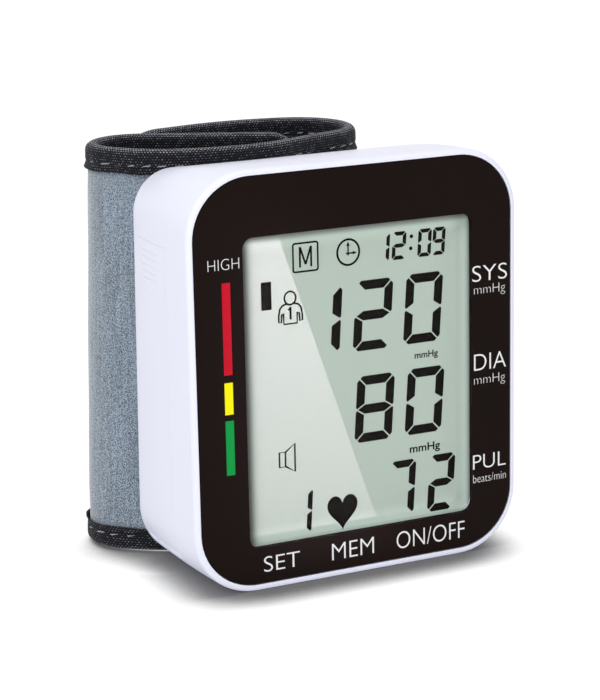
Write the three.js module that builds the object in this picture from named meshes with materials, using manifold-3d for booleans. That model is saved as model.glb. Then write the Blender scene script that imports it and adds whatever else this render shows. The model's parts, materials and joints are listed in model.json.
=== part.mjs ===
// A wrist blood pressure monitor: a flat case with a display, and a springy fabric cuff rolled up behind it.
// Millimetres, +Z up. The display faces -Y. The origin is the middle of the case's flat underside.
import * as THREE from 'three';
import { mergeVertices } from 'three/addons/utils/BufferGeometryUtils.js';
import Module from 'manifold-3d';

const wasm = await Module();
wasm.setup();

// Driving dimensions

const clearance = 0.2;
const weld = 0.4;
const overrun = 8;

// The case is a front shell and a rear shell. Its sides swell a little between front and back, its top falls
// towards the back, and its back is a little broader at the foot than at the top.
const casing = {
  wall: 1.8, cornerRadius: 11.9, frontShellDepth: 8.3, partingGap: 0.2, rimRound: 0.9, backRound: 1,
  backTopRadius: 7.5, backFootRadius: 11.2, topFall: 2.9, backNarrowing: 0.2, footSpread: 0.65,
  sideSwell: 0.35, frontWall: 1.6, seatWall: 1.6, seatGap: 0.3, seatDepth: 3.65,
  cornerSteps: 6, roundSteps: 3, swellSteps: 4,
};

// The black mask lies in a recess of the front shell, inside a thin white rim.
const panel = { sideRim: 1.2, topRim: 1.2, footRim: 1.4, thickness: 1, cornerRadius: 10.7, fit: 0.15, steps: 8 };
const viewing = {
  leftMargin: 10.45, rightMargin: 9.3, footMargin: 8.1, topMargin: 11.9, cornerRadius: 2, steps: 3,
};
const lens = { lap: 0.8, thickness: 1 };
const glass = { lap: 1.4, thickness: 2, ledge: 4.2, ledgeThickness: 1.1 };
const frameRing = { lap: 0.3, rise: 4.5, wall: 1.6 };
const elastomer = { inset: 3.6, width: 2, edge: 2 };

const board = {
  thickness: 1.2, toFront: 8.1, sideGap: 3.7, foot: 5, topGap: 6.4, postGap: 0.4, footShoulder: 1.1,
  topShoulder: 5.1,
};
const boardPost = { edge: 1.7, shoulder: 5, radius: 1.9 };
const boardScrew = {
  headRadius: 1.6, headHeight: 0.7, shankRadius: 0.8, shankLength: 5, holeGap: 0.2, steps: 8,
};
const chip = { x: 3, z: 30, width: 10, thickness: 1.2 };
const speaker = { x: 17, z: 14, radius: 6, thickness: 1.4, steps: 18 };

const key = {
  length: 8.6, width: 3.4, lap: 0.6, flange: 0.9, recess: 0.4, travel: 0.7, toFront: 5.4, fit: 0.25, steps: 4,
};
const keyPlaceShares = { set: -0.246, memory: -0.0245, power: 0.22 };
const tactSwitch = { width: 6, depth: 2.9, height: 3.5, plungerRadius: 0.5, plunger: 0.8, play: 0.1, steps: 8 };

// The air side: a pump, an exhaust valve and a pressure sensor meet at a branch piece behind the cuff's nozzle.
const pump = {
  sideGap: 3.7, foot: 22, motorRadius: 6.6, motorLength: 20, headWidth: 14, headDepth: 13.2, headHeight: 13.6,
  outletRadius: 1.2, outlet: 2.6, steps: 20,
};
const valve = { radius: 4.2, foot: 12, length: 13, portRadius: 1.2, port: 1.3, steps: 16 };
const sensor = { z: 48, width: 7, thickness: 3.2, portRadius: 1.2, port: 2 };
const branch = { sideGap: 2.15, z: 36, width: 4.4, height: 6, stubRadius: 1.2, stub: 1.3 };
const tube = { radius: 1.5, sides: 8, steps: 12, endGap: 0.3, lead: 4.8, bend: 2.4 };
const nozzle = { radius: 1.6, holeGap: 0.3, endGap: 0.15, steps: 12 };

// Two AAA cells stand side by side behind the board, one of them turned over, each with a coil at one end.
const cell = { radius: 5.25, length: 44.5, nubRadius: 1.9, nub: 0.9, edge: 0.4, steps: 16 };
const bay = {
  foot: 12.2, wall: 1, endGap: 0.4, sideGap: 0.35, cellGap: 0.5, outerFront: 0.95, innerFront: 0.55,
  headRoom: 14.9,
};
const contact = { thickness: 0.3, width: 8, gap: 0.2 };
const coil = { radius: 3.9, tipRadius: 2.3, wire: 0.3, length: 3.2, curls: 2.5, curlSteps: 8, sides: 5 };

// The cover takes the rear of the left side wall. It slides down off the foot, held by a tongue at its top.
const cover = {
  rise: 0.7, drop: 5.8, front: 1.4, rear: 2.1, depth: 1.9, gap: 0.2, travel: 6, ledge: 1.2, openingGap: 0.3,
  tongueWidth: 7, tongue: 2.2, tongueThickness: 0.8, stem: 1.6,
};
const grip = { ridges: 5, pitch: 1.25, height: 0.25, width: 0.6, length: 7.8, fromTop: 1.3, shift: 1.6 };
const arrow = { fromTop: 7, length: 2.6, width: 5.8 };

const caseScrew = {
  footInset: 5.4, footRise: 8.5, topInset: 8.2, topDrop: 6.9, bossRadius: 2.4, postRadius: 3.4, headRadius: 2.1,
  headHeight: 1.4, headDepth: 8, shankRadius: 1, shankLength: 12, holeGap: 0.3, pilotGap: 0.15, steps: 10,
};

// The cuff is one band, rolled up. Each arc of its middle line has a length and a share of a full turn. The arcs
// run from the seat on the case's back, to the right up to the flap's end and to the left up to the tongue's end.
const cuff = { seatX: -10, foot: 0.3, halfThickness: 1.35, hingeGap: 0.3 };
const runRight = { seat: 9.2, rise: 13.4, curl: 28.4, flap: 23.2, flapEnd: 17 };
const runLeft = { seat: 9.4, rise: 16.8, curl: 23.9, tongue: 31 };
const turnShares = {
  right: { seat: 0.064, rise: -0.0135, curl: 0.402, flap: 0.085, flapEnd: -0.049 },
  left: { seat: -0.041, rise: -0.1065, curl: -0.431, tongue: 0 },
};
const turnStepShare = 0.04;
const bend = { flap: 30, flapTip: 44, tongue: 38 };
const binding = { reach: 5.2, wall: 0.35, flapCorner: 12, tongueCorner: 6, steps: 5 };
const fabric = { thickness: 0.3, gap: 0.15, edgeGap: 0.35 };
const cuffShell = { left: 26, right: 17, edge: 6, thickness: 0.3, gap: 0.1, studRadius: 1.25, studTip: 0.6 };
const studPlaces = { left: 8, right: 5.5 };
const studClip = { footGap: 0.3, topGap: 3.6, reach: 2.4, thickness: 0.8, gap: 0.15, steps: 10 };
const bladder = { left: 24, right: 20, edge: 8 };
const hookPatch = { length: 13, edge: 10.5, thickness: 0.5, gap: 0.15, bindingGap: 0.4 };

// The case is as wide, deep and high as its cells, its board and the cuff's seat need. Half of its width holds
// the two cells, up to the valve in the middle.

const rightAngle = Math.PI / 2;
const fullTurn = 4 * rightAngle;
const cellsWidth = bay.sideGap + 4 * cell.radius + bay.cellGap + bay.endGap + bay.wall;
const caseSide = cover.depth + cover.ledge + cellsWidth + branch.sideGap + valve.radius;
const caseWidth = 2 * caseSide;
const behindCells = bay.endGap + casing.seatWall + casing.seatDepth;
const boardDepth = board.toFront + board.thickness + clearance;
const caseDepth = boardDepth + bay.innerFront + 2 * cell.radius + behindCells;
const cellSpace = 2 * contact.gap + contact.thickness;
const bayTop = bay.foot + cellSpace + coil.length + cell.length + cellSpace + contact.gap;
const caseHeight = bayTop + bay.headRoom;

// Planes from front to back

const frontY = -caseDepth / 2;
const backY = caseDepth / 2;
const partingY = frontY + casing.frontShellDepth;
const frontShellEndY = partingY - casing.partingGap / 2;
const rearShellStartY = partingY + casing.partingGap / 2;
const panelBackY = frontY + panel.thickness;
const recessY = panelBackY + clearance;
const cavityFrontY = recessY + casing.frontWall;
const cavityBackY = backY - casing.wall;
const lensFrontY = recessY;
const glassFrontY = cavityFrontY + clearance;
const glassBackY = glassFrontY + glass.thickness;
const boardFrontY = frontY + board.toFront;
const boardBackY = boardFrontY + board.thickness;
const onBoardY = boardBackY + clearance;
const keyY = frontY + key.toFront;
const cuffTop = cuff.foot + caseHeight;
const fabricOuter = cuff.halfThickness - binding.wall - fabric.gap;
const fabricInner = fabricOuter - fabric.thickness;

// Places across the case

const coverPlaneX = -caseSide + cover.depth;
const coverTop = bayTop + cover.rise;
const coverFoot = bay.foot - cover.drop;
const outerCellX = coverPlaneX + cover.ledge + bay.sideGap + cell.radius;
const innerCellX = outerCellX + 2 * cell.radius + bay.cellGap;
const outerCellY = onBoardY + bay.outerFront + cell.radius;
const innerCellY = onBoardY + bay.innerFront + cell.radius;
const partitionX = innerCellX + cell.radius + bay.endGap;
const branchX = partitionX + bay.wall + branch.sideGap + valve.radius;
const pumpX = caseSide - casing.wall - pump.sideGap - pump.headWidth / 2;
const studXs = [cuff.seatX - studPlaces.left, cuff.seatX + studPlaces.right];
const studZs = [
  bay.foot - bay.wall - studClip.reach - studClip.footGap,
  bayTop + bay.wall + studClip.reach + studClip.topGap,
];

// Solids

// Makes a closed geometry a solid that can be cut and joined.
function solid(geometry) {
  const bare = geometry.clone();
  bare.deleteAttribute('normal');
  bare.deleteAttribute('uv');
  const merged = mergeVertices(bare);
  const corners = merged.index.array;
  const faces = [];
  for (let i = 0; i < corners.length; i += 3) {
    const [a, b, c] = corners.slice(i, i + 3);
    if (a !== b && b !== c && c !== a) faces.push(a, b, c);
  }
  return new wasm.Manifold(new wasm.Mesh({
    numProp: 3,
    vertProperties: merged.attributes.position.array,
    triVerts: new Uint32Array(faces),
  }));
}

function geometryOf(part) {
  const mesh = part.getMesh();
  const geometry = new THREE.BufferGeometry();
  geometry.setAttribute('position', new THREE.BufferAttribute(new Float32Array(mesh.vertProperties), 3));
  geometry.setIndex(new THREE.BufferAttribute(new Uint32Array(mesh.triVerts), 1));
  return geometry;
}

const joined = (...parts) => parts.reduce((whole, part) => whole.add(part));

function box([left, right], [front, back], [low, high]) {
  const geometry = new THREE.BoxGeometry(right - left, back - front, high - low);
  return solid(geometry.translate((left + right) / 2, (front + back) / 2, (low + high) / 2));
}

// A round rod along the depth or along the height.
function rodInDepth(radius, x, z, [front, back], steps) {
  const geometry = new THREE.CylinderGeometry(radius, radius, back - front, steps);
  return solid(geometry.translate(x, (front + back) / 2, z));
}

function rodInHeight(radius, x, y, [low, high], steps) {
  const geometry = new THREE.CylinderGeometry(radius, radius, high - low, steps);
  return solid(geometry.rotateX(rightAngle).translate(x, y, (low + high) / 2));
}

function rodInWidth(radius, y, z, [left, right], steps) {
  const geometry = new THREE.CylinderGeometry(radius, radius, right - left, steps);
  return solid(geometry.rotateZ(rightAngle).translate((left + right) / 2, y, z));
}

// A flat outline given sideways and upwards, thick from front to back.
function plateInDepth(outline, [front, back]) {
  const geometry = new THREE.ExtrudeGeometry(new THREE.Shape(outline), {
    depth: back - front, bevelEnabled: false,
  });
  return solid(geometry.rotateX(rightAngle).translate(0, back, 0));
}

// A flat outline given sideways and in depth, thick from low to high.
function plateInHeight(outline, [low, high]) {
  const geometry = new THREE.ExtrudeGeometry(new THREE.Shape(outline), {
    depth: high - low, bevelEnabled: false,
  });
  return solid(geometry.translate(0, 0, low));
}

// A rectangle with round corners, with one radius at its two lower corners and one at its two upper ones.
function roundedOutline([left, right], [low, high], footRadius, topRadius, steps) {
  const corners = [
    [right - topRadius, high - topRadius, topRadius],
    [left + topRadius, high - topRadius, topRadius],
    [left + footRadius, low + footRadius, footRadius],
    [right - footRadius, low + footRadius, footRadius],
  ];
  return corners.flatMap(([x, z, radius], quarter) => Array.from({ length: steps + 1 }, (_, step) => {
    const angle = (quarter + step / steps) * rightAngle;
    return new THREE.Vector2(x + radius * Math.cos(angle), z + radius * Math.sin(angle));
  }));
}

// Joins rings of equally many points, in order, and closes both ends. The section is the flat form of a ring.
function loft(rings, section) {
  const count = section.length;
  const positions = rings.flatMap((ring) => ring.flatMap((point) => [point.x, point.y, point.z]));
  const turnsLeft = THREE.ShapeUtils.area(section) > 0;
  const faces = [];
  for (let ring = 0; ring + 1 < rings.length; ring += 1) {
    for (let i = 0; i < count; i += 1) {
      const here = ring * count + i;
      const next = ring * count + (i + 1) % count;
      const side = [here, next, next + count, here, next + count, here + count];
      faces.push(...(turnsLeft ? side : side.reverse()));
    }
  }
  const last = (rings.length - 1) * count;
  for (const triangle of THREE.ShapeUtils.triangulateShape(section, [])) {
    const facing = THREE.ShapeUtils.area(triangle.map((i) => section[i])) > 0 ? triangle : triangle.reverse();
    faces.push(...facing.map((i) => last + i), facing[2], facing[1], facing[0]);
  }
  const geometry = new THREE.BufferGeometry();
  geometry.setAttribute('position', new THREE.Float32BufferAttribute(positions, 3));
  geometry.setIndex(enclosed(positions, faces) > 0 ? faces : faces.reverse());
  return geometry;
}

function enclosed(positions, faces) {
  const corner = (i) => new THREE.Vector3().fromArray(positions, 3 * faces[i]);
  let volume = 0;
  for (let i = 0; i < faces.length; i += 3) {
    volume += corner(i).dot(corner(i + 1).cross(corner(i + 2)));
  }
  return volume;
}

function turned(profile, steps) {
  const points = profile.map(([radius, height]) => new THREE.Vector2(radius, height));
  return solid(new THREE.LatheGeometry(points, steps).rotateX(rightAngle));
}

// The band of the cuff

// Walks along the arcs from the seat. Each station has its place, the direction to the band's outer side and
// its distance from the seat along the band, negative on the left.
function walk(runs, shares, side) {
  let heading = side > 0 ? 0 : Math.PI;
  let distance = 0;
  const place = new THREE.Vector2(cuff.seatX, 0);
  const stations = [];
  const note = () => stations.push({
    x: place.x, y: place.y, outX: side * Math.sin(heading), outY: -side * Math.cos(heading), s: side * distance,
  });
  note();
  for (const [name, length] of Object.entries(runs)) {
    const steps = 1 + Math.ceil(Math.abs(shares[name]) / turnStepShare);
    const pace = length / steps;
    const halfTurn = (fullTurn * shares[name]) / steps / 2;
    for (let step = 0; step < steps; step += 1) {
      heading += halfTurn;
      place.x += pace * Math.cos(heading);
      place.y += pace * Math.sin(heading);
      heading += halfTurn;
      distance += pace;
      note();
    }
  }
  return stations;
}

// The seat is as deep in the case's back as the wall over the inner cell allows.
const seatY = innerCellY + cell.radius + bay.endGap + casing.seatWall + casing.seatGap + cuff.halfThickness;
const stations = [
  ...walk(runLeft, turnShares.left, -1).slice(1).reverse(),
  ...walk(runRight, turnShares.right, 1),
];
stations.forEach((station) => { station.y += seatY; });
const flapEnd = stations.at(-1).s;
const tongueEnd = stations[0].s;

// A station anywhere along the band, on the straight between its neighbours.
function stationAt(s) {
  const next = Math.max(1, stations.findIndex((station) => station.s >= s));
  const [before, after] = [stations[next - 1], stations[next]];
  const share = (s - before.s) / (after.s - before.s);
  const between = (name) => before[name] + share * (after[name] - before[name]);
  return { x: between('x'), y: between('y'), outX: between('outX'), outY: between('outY'), s };
}

function bandPoint(station, offset, z) {
  return new THREE.Vector3(station.x + station.outX * offset, station.y + station.outY * offset, z);
}

function stationsBetween(from, to) {
  const inside = stations.filter(({ s }) => s > from + fabric.gap && s < to - fabric.gap);
  return [stationAt(from), ...inside, stationAt(to)];
}

// One layer of the band. Where it has a free end, its corners there are round.
function bandLayer({ from, to, inner, outer, edge, freeEnd = 0, radius = 0 }) {
  const end = freeEnd > 0 ? to : from;
  const cornerStart = end - freeEnd * radius;
  const straight = stationsBetween(freeEnd < 0 ? cornerStart : from, freeEnd > 0 ? cornerStart : to);
  const corner = Array.from({ length: freeEnd ? binding.steps : 0 }, (_, step) => (
    stationAt(cornerStart + freeEnd * radius * Math.sin(((step + 1) / binding.steps) * rightAngle))
  ));
  const along = freeEnd < 0 ? [...corner.reverse(), ...straight] : [...straight, ...corner];
  const rings = along.map((station) => {
    const past = Math.max(0, freeEnd * (station.s - cornerStart));
    const drop = radius - Math.sqrt(Math.max(0, radius ** 2 - past ** 2));
    const low = cuff.foot + edge + drop;
    const high = cuffTop - edge - drop;
    return [
      bandPoint(station, inner, low), bandPoint(station, outer, low),
      bandPoint(station, outer, high), bandPoint(station, inner, high),
    ];
  });
  const section = [[inner, 0], [outer, 0], [outer, caseHeight], [inner, caseHeight]];
  return loft(rings, section.map(([across, up]) => new THREE.Vector2(across, up)));
}

// The binding is a tape folded over the band's edge. Its path is a list of edge points, each with its way inward.
function bindingTape(path) {
  const half = cuff.halfThickness;
  const skin = half - binding.wall;
  const section = [
    [0, half], [binding.reach, half], [binding.reach, skin], [binding.wall, skin],
    [binding.wall, -skin], [binding.reach, -skin], [binding.reach, -half], [0, -half],
  ];
  const rings = path.map(({ s, z, inS, inZ }) => section.map(([reach, offset]) => (
    bandPoint(stationAt(s + inS * reach), offset, z + inZ * reach)
  )));
  return loft(rings, section.map(([reach, offset]) => new THREE.Vector2(reach, offset)));
}

function straightEdge(from, to, up) {
  const z = up > 0 ? cuffTop : cuff.foot;
  return stationsBetween(from, to).map(({ s }) => ({ s, z, inS: 0, inZ: -up }));
}

// The edge of a free end: along the top, round a corner, down the end, round the lower corner and back.
function freeEdge(hinge, end, radius) {
  const way = Math.sign(end - hinge);
  const cornerS = end - way * radius;
  const top = straightEdge(Math.min(hinge, cornerS), Math.max(hinge, cornerS), 1);
  if (way < 0) top.reverse();
  for (let step = 1; step <= binding.steps; step += 1) {
    const angle = (step / binding.steps) * rightAngle;
    top.push({
      s: cornerS + way * radius * Math.sin(angle),
      z: cuffTop - radius + radius * Math.cos(angle),
      inS: -way * Math.sin(angle),
      inZ: -Math.cos(angle),
    });
  }
  const foot = top.map((point) => ({ ...point, z: cuff.foot + cuffTop - point.z, inZ: -point.inZ })).reverse();
  return [...top, ...foot];
}

// The case

// The case's outline at one depth, drawn in by an inset.
function casingRing(y, inset) {
  const along = (y - frontY) / caseDepth;
  const swell = casing.sideSwell * Math.sin(Math.PI * along);
  const half = caseSide - casing.backNarrowing * along + swell - inset;
  const top = caseHeight - casing.topFall * along + swell - inset;
  const topRadius = THREE.MathUtils.lerp(casing.cornerRadius, casing.backTopRadius, along) - inset;
  const footRadius = THREE.MathUtils.lerp(casing.cornerRadius, casing.backFootRadius, along) - inset;
  const outline = roundedOutline([-half, half], [inset, top], footRadius, topRadius, casing.cornerSteps);
  return outline.map((point) => {
    const spread = casing.footSpread * along * (1 - (2 * point.y) / caseHeight);
    return new THREE.Vector3(point.x * (1 + spread / half), y, point.y);
  });
}

function casingSolid(depthsAndInsets) {
  const rings = depthsAndInsets.map(([y, inset]) => casingRing(y, inset));
  return solid(loft(rings, rings[0].map((point) => new THREE.Vector2(point.x, point.z))));
}

function outerCasing() {
  const places = [];
  for (let step = 0; step <= casing.roundSteps; step += 1) {
    const angle = (step / casing.roundSteps) * rightAngle;
    const sunk = 1 - Math.cos(angle);
    const drawn = 1 - Math.sin(angle);
    places.push([frontY + casing.rimRound * sunk, casing.rimRound * drawn]);
  }
  const straight = caseDepth - casing.rimRound - casing.backRound;
  for (let step = 1; step < casing.swellSteps; step += 1) {
    places.push([frontY + casing.rimRound + (straight * step) / casing.swellSteps, 0]);
  }
  for (let step = casing.roundSteps; step >= 0; step -= 1) {
    const angle = (step / casing.roundSteps) * rightAngle;
    places.push([backY - casing.backRound * (1 - Math.cos(angle)), casing.backRound * (1 - Math.sin(angle))]);
  }
  return casingSolid(places);
}

function casingCavity() {
  return casingSolid(Array.from({ length: casing.swellSteps + 1 }, (_, step) => (
    [THREE.MathUtils.lerp(cavityFrontY, cavityBackY, step / casing.swellSteps), casing.wall]
  )));
}

// Everything behind the cuff's front strand, at a distance from the band's outer face.
function behindCuff(distance) {
  const strand = stations.filter(({ s }) => s > -bend.tongue && s < bend.flap);
  const edge = strand.map((station) => bandPoint(station, cuff.halfThickness + distance, 0));
  const outline = edge.map((point) => new THREE.Vector2(point.x, point.y));
  outline.push(new THREE.Vector2(edge.at(-1).x, backY + caseDepth));
  outline.push(new THREE.Vector2(edge[0].x, backY + caseDepth));
  return plateInHeight(outline, [-overrun, caseHeight + overrun]);
}

// The depth of the rear wall's inner face at a place across the case.
function rearInnerY(x) {
  const distance = cuff.halfThickness + casing.seatGap + casing.seatWall;
  const edge = stations.map((station) => bandPoint(station, distance, 0));
  const next = edge.findIndex((point, i) => i > 0 && point.x >= x && edge[i - 1].x < x && point.y < edge[0].y);
  const share = (x - edge[next - 1].x) / (edge[next].x - edge[next - 1].x);
  return Math.min(cavityBackY, THREE.MathUtils.lerp(edge[next - 1].y, edge[next].y, share));
}

const rearClearY = (x, reach) => (
  Math.min(rearInnerY(x - reach), rearInnerY(x), rearInnerY(x + reach)) - clearance
);
const clipBackY = seatY - cuff.halfThickness - casing.seatGap - casing.seatWall - clearance;

const caseOuter = outerCasing();
const wide = [-caseWidth, caseWidth];
const tall = [-overrun, caseHeight + overrun];

const screwPlaces = [-1, 1].flatMap((side) => [
  [side * (caseSide - caseScrew.footInset), caseScrew.footRise],
  [side * (caseSide - caseScrew.topInset), caseHeight - caseScrew.topDrop],
]);
const boardHalf = caseSide - board.sideGap;
const boardNeckHalf = caseSide - caseScrew.topInset - caseScrew.postRadius - board.postGap;
const boardWideFoot = caseScrew.footRise + caseScrew.postRadius + board.footShoulder;
const boardWideTop = caseHeight - caseScrew.topDrop - caseScrew.postRadius - board.topShoulder;
const boardScrewPlaces = [-1, 1].flatMap((side) => [
  [side * (boardHalf - boardPost.edge), boardWideFoot + boardPost.shoulder],
  [side * (boardHalf - boardPost.edge), boardWideTop - boardPost.shoulder],
]);
const studs = studXs.flatMap((x) => studZs.map((z) => [x, z]));

const panelSides = [-caseSide + panel.sideRim, caseSide - panel.sideRim];
const panelHeights = [panel.footRim, caseHeight - panel.topRim];
const viewingSides = [-caseSide + viewing.leftMargin, caseSide - viewing.rightMargin];
const viewingHeights = [viewing.footMargin, caseHeight - viewing.topMargin];

function grownRange([low, high], by) {
  return [low - by, high + by];
}

function panelOutline(grown) {
  const radius = panel.cornerRadius + grown;
  const sides = grownRange(panelSides, grown);
  return roundedOutline(sides, grownRange(panelHeights, grown), radius, radius, panel.steps);
}

function viewingOutline(grown) {
  const radius = viewing.cornerRadius;
  const sides = grownRange(viewingSides, grown);
  return roundedOutline(sides, grownRange(viewingHeights, grown), radius, radius, viewing.steps);
}

// A key's oblong outline seen from below.
function keyOutline(x, grown) {
  const half = key.width / 2 + grown;
  const sides = [x - key.length / 2 - grown, x + key.length / 2 + grown];
  return roundedOutline(sides, [keyY - half, keyY + half], half, half, key.steps);
}

function frontCase() {
  const shell = caseOuter
    .intersect(box(wide, [frontY - overrun, frontShellEndY], tall))
    .subtract(casingCavity())
    .subtract(plateInDepth(panelOutline(panel.fit), [frontY - overrun, recessY]))
    .subtract(plateInDepth(viewingOutline(lens.lap + clearance), [frontY, cavityFrontY + weld]));
  const bosses = screwPlaces.map(([x, z]) => (
    rodInDepth(caseScrew.bossRadius, x, z, [cavityFrontY - weld, frontShellEndY], caseScrew.steps)
      .subtract(rodInDepth(
        caseScrew.shankRadius + caseScrew.pilotGap, x, z, [cavityFrontY, frontShellEndY + weld],
        caseScrew.steps,
      ))
  ));
  const posts = boardScrewPlaces.map(([x, z]) => (
    rodInDepth(boardPost.radius, x, z, [cavityFrontY - weld, boardFrontY - clearance], boardScrew.steps)
      .subtract(rodInDepth(
        boardScrew.shankRadius + boardScrew.holeGap, x, z, [cavityFrontY, boardFrontY], boardScrew.steps,
      ))
  ));
  const keyHoles = Object.values(keyPlaceShares).map((share) => (
    plateInHeight(keyOutline(caseWidth * share, key.fit), [-overrun, casing.wall + clearance])
  ));
  return keyHoles.reduce((body, hole) => body.subtract(hole), joined(shell, ...bosses, ...posts));
}

const coverRange = [partingY + cover.front, backY - cover.rear];
const bayFront = onBoardY + clearance;

// Ribs round the cells, and a ledge behind the cover. The cells go in by the mouth in it.
function batteryBay() {
  const across = [coverPlaneX, partitionX + bay.wall];
  const deep = [bayFront, cavityBackY + weld];
  const ribs = joined(
    box(across, deep, [bay.foot - bay.wall, bay.foot]),
    box(across, deep, [bayTop, bayTop + bay.wall]),
    box([partitionX, partitionX + bay.wall], deep, [bay.foot - bay.wall, bayTop + bay.wall]),
  );
  const ledgeX = [coverPlaneX - cover.depth, coverPlaneX + cover.ledge];
  const ledge = box(ledgeX, [rearShellStartY, cavityBackY + weld], [coverFoot, coverTop + cover.ledge]);
  return joined(ribs, ledge);
}

function bayMouth() {
  const x = [-caseWidth, coverPlaneX + cover.ledge + clearance];
  return box(x, grownRange([outerCellY, outerCellY], cell.radius + cover.openingGap), [bay.foot, bayTop]);
}

const stemTop = coverTop - cover.gap;
const tongueStartX = coverPlaneX + weld;

// The tongue goes up behind the side wall's edge, and comes out of it as the cover slides down.
function tongueBox(grown) {
  const x = grownRange([tongueStartX, tongueStartX + cover.tongueThickness], grown);
  const z = grownRange([stemTop - cover.stem, coverTop + cover.tongue], grown);
  return box(x, grownRange([outerCellY, outerCellY], cover.tongueWidth / 2 + grown), z);
}

// The stem joins the tongue to the inside of the cover.
function stemBox(grown) {
  const x = grownRange([coverPlaneX - cover.gap - weld, tongueStartX + clearance], grown);
  const z = grownRange([stemTop - cover.stem, stemTop], grown);
  return box(x, grownRange([outerCellY, outerCellY], cover.tongueWidth / 2 + grown), z);
}

function rearCase() {
  const cavity = casingCavity().subtract(behindCuff(casing.seatGap + casing.seatWall));
  const shell = caseOuter.intersect(box(wide, [rearShellStartY, backY + overrun], tall)).subtract(cavity);
  const posts = screwPlaces.map(([x, z]) => (
    rodInDepth(caseScrew.postRadius, x, z, [rearShellStartY, cavityBackY + weld], caseScrew.steps)
  ));
  const body = joined(shell, ...posts, batteryBay()).intersect(caseOuter);
  const recess = box([-caseWidth, coverPlaneX], coverRange, [-overrun, coverTop]);
  const openings = [behindCuff(casing.seatGap), recess, bayMouth(), tongueBox(clearance), stemBox(clearance)];
  const headY = backY - caseScrew.headDepth;
  for (const [x, z] of screwPlaces) {
    const hole = caseScrew.shankRadius + caseScrew.holeGap;
    const bore = caseScrew.headRadius + caseScrew.holeGap;
    openings.push(rodInDepth(hole, x, z, [partingY - weld, headY + weld], caseScrew.steps));
    openings.push(rodInDepth(bore, x, z, [headY, backY + overrun], caseScrew.steps));
  }
  for (const [x, z] of studs) {
    openings.push(rodInDepth(cuffShell.studRadius + clearance, x, z, [clipBackY, backY], studClip.steps));
  }
  openings.push(rodInDepth(
    nozzle.radius + nozzle.holeGap, branchX, branch.z, [clipBackY, backY + weld], nozzle.steps,
  ));
  return openings.reduce((part, opening) => part.subtract(opening), body);
}

function batteryCover() {
  const y = grownRange(coverRange, -cover.gap);
  const plane = coverPlaneX - cover.gap;
  const plate = caseOuter.intersect(box([-caseWidth, plane], y, [coverFoot, coverTop - cover.gap]));
  const raised = caseOuter.translate([-grip.height, 0, 0]);
  const gripY = outerCellY + grip.shift;
  const gripSides = grownRange([gripY, gripY], grip.length / 2);
  const ridges = Array.from({ length: grip.ridges }, (_, i) => {
    const top = stemTop - grip.fromTop - i * grip.pitch;
    return raised.intersect(box([-caseWidth, plane - weld], gripSides, [top - grip.width, top]));
  });
  const arrowTop = stemTop - arrow.fromTop;
  const arrowShape = new THREE.ExtrudeGeometry(new THREE.Shape([
    new THREE.Vector2(gripY - arrow.width / 2, arrowTop),
    new THREE.Vector2(gripY, arrowTop - arrow.length),
    new THREE.Vector2(gripY + arrow.width / 2, arrowTop),
  ]), { depth: caseWidth, bevelEnabled: false });
  const towardsSide = new THREE.Matrix4().set(0, 0, -1, plane - weld, 1, 0, 0, 0, 0, 1, 0, 0, 0, 0, 0, 1);
  const mark = raised.intersect(solid(arrowShape.applyMatrix4(towardsSide)));
  return joined(plate, stemBox(0), tongueBox(0), mark, ...ridges);
}

// Behind the panel

function frontPanel() {
  return plateInDepth(panelOutline(0), [frontY, panelBackY])
    .subtract(plateInDepth(viewingOutline(0), [frontY - overrun, panelBackY + overrun]));
}

const displayWindow = () => plateInDepth(viewingOutline(lens.lap), [lensFrontY, lensFrontY + lens.thickness]);

const glassX = grownRange(viewingSides, glass.lap);
const glassZ = grownRange(viewingHeights, glass.lap);

function displayGlass() {
  return joined(
    box(glassX, [glassFrontY, glassFrontY + glass.ledgeThickness], glassZ),
    box(glassX, [glassFrontY, glassBackY], [glassZ[0], glassZ[1] - glass.ledge]),
  );
}

function displayFrame() {
  const depth = [glassBackY + clearance, boardFrontY - clearance];
  const x = grownRange(glassX, frameRing.lap);
  const z = [glassZ[0] + frameRing.rise, glassZ[1] + frameRing.lap];
  const [insideX, insideZ] = [x, z].map((range) => grownRange(range, -frameRing.wall));
  return box(x, depth, z).subtract(box(insideX, grownRange(depth, overrun), insideZ));
}

function elastomerStrip() {
  const top = glassZ[1] - elastomer.edge;
  const x = grownRange(glassX, -elastomer.inset);
  const y = [glassFrontY + glass.ledgeThickness + clearance, boardFrontY - clearance];
  return box(x, y, [top - elastomer.width, top]);
}

function mainBoard() {
  const right = [
    [boardNeckHalf, board.foot], [boardNeckHalf, boardWideFoot], [boardHalf, boardWideFoot],
    [boardHalf, boardWideTop], [boardNeckHalf, boardWideTop], [boardNeckHalf, caseHeight - board.topGap],
  ];
  const left = right.map(([x, z]) => [-x, z]).reverse();
  const outline = [...right, ...left].map(([x, z]) => new THREE.Vector2(x, z));
  const reach = grownRange([boardFrontY, boardBackY], weld);
  return boardScrewPlaces.reduce((plate, [x, z]) => plate.subtract(rodInDepth(
    boardScrew.shankRadius + boardScrew.holeGap, x, z, reach, boardScrew.steps,
  )), plateInDepth(outline, [boardFrontY, boardBackY]));
}

const keyInnerZ = casing.wall + clearance;
const keyTop = keyInnerZ + key.flange;

function pushKey(x) {
  return joined(
    plateInHeight(keyOutline(x, 0), [key.recess, keyTop]),
    plateInHeight(keyOutline(x, key.lap), [keyInnerZ, keyTop]),
  );
}

function keySwitch(x) {
  const tip = keyTop + key.travel + tactSwitch.play;
  const low = tip + tactSwitch.plunger;
  const y = [boardFrontY - clearance - tactSwitch.depth, boardFrontY - clearance];
  return joined(
    box(grownRange([x, x], tactSwitch.width / 2), y, [low, low + tactSwitch.height]),
    rodInHeight(tactSwitch.plungerRadius, x, (y[0] + y[1]) / 2, [tip, low + weld], tactSwitch.steps),
  );
}

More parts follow.
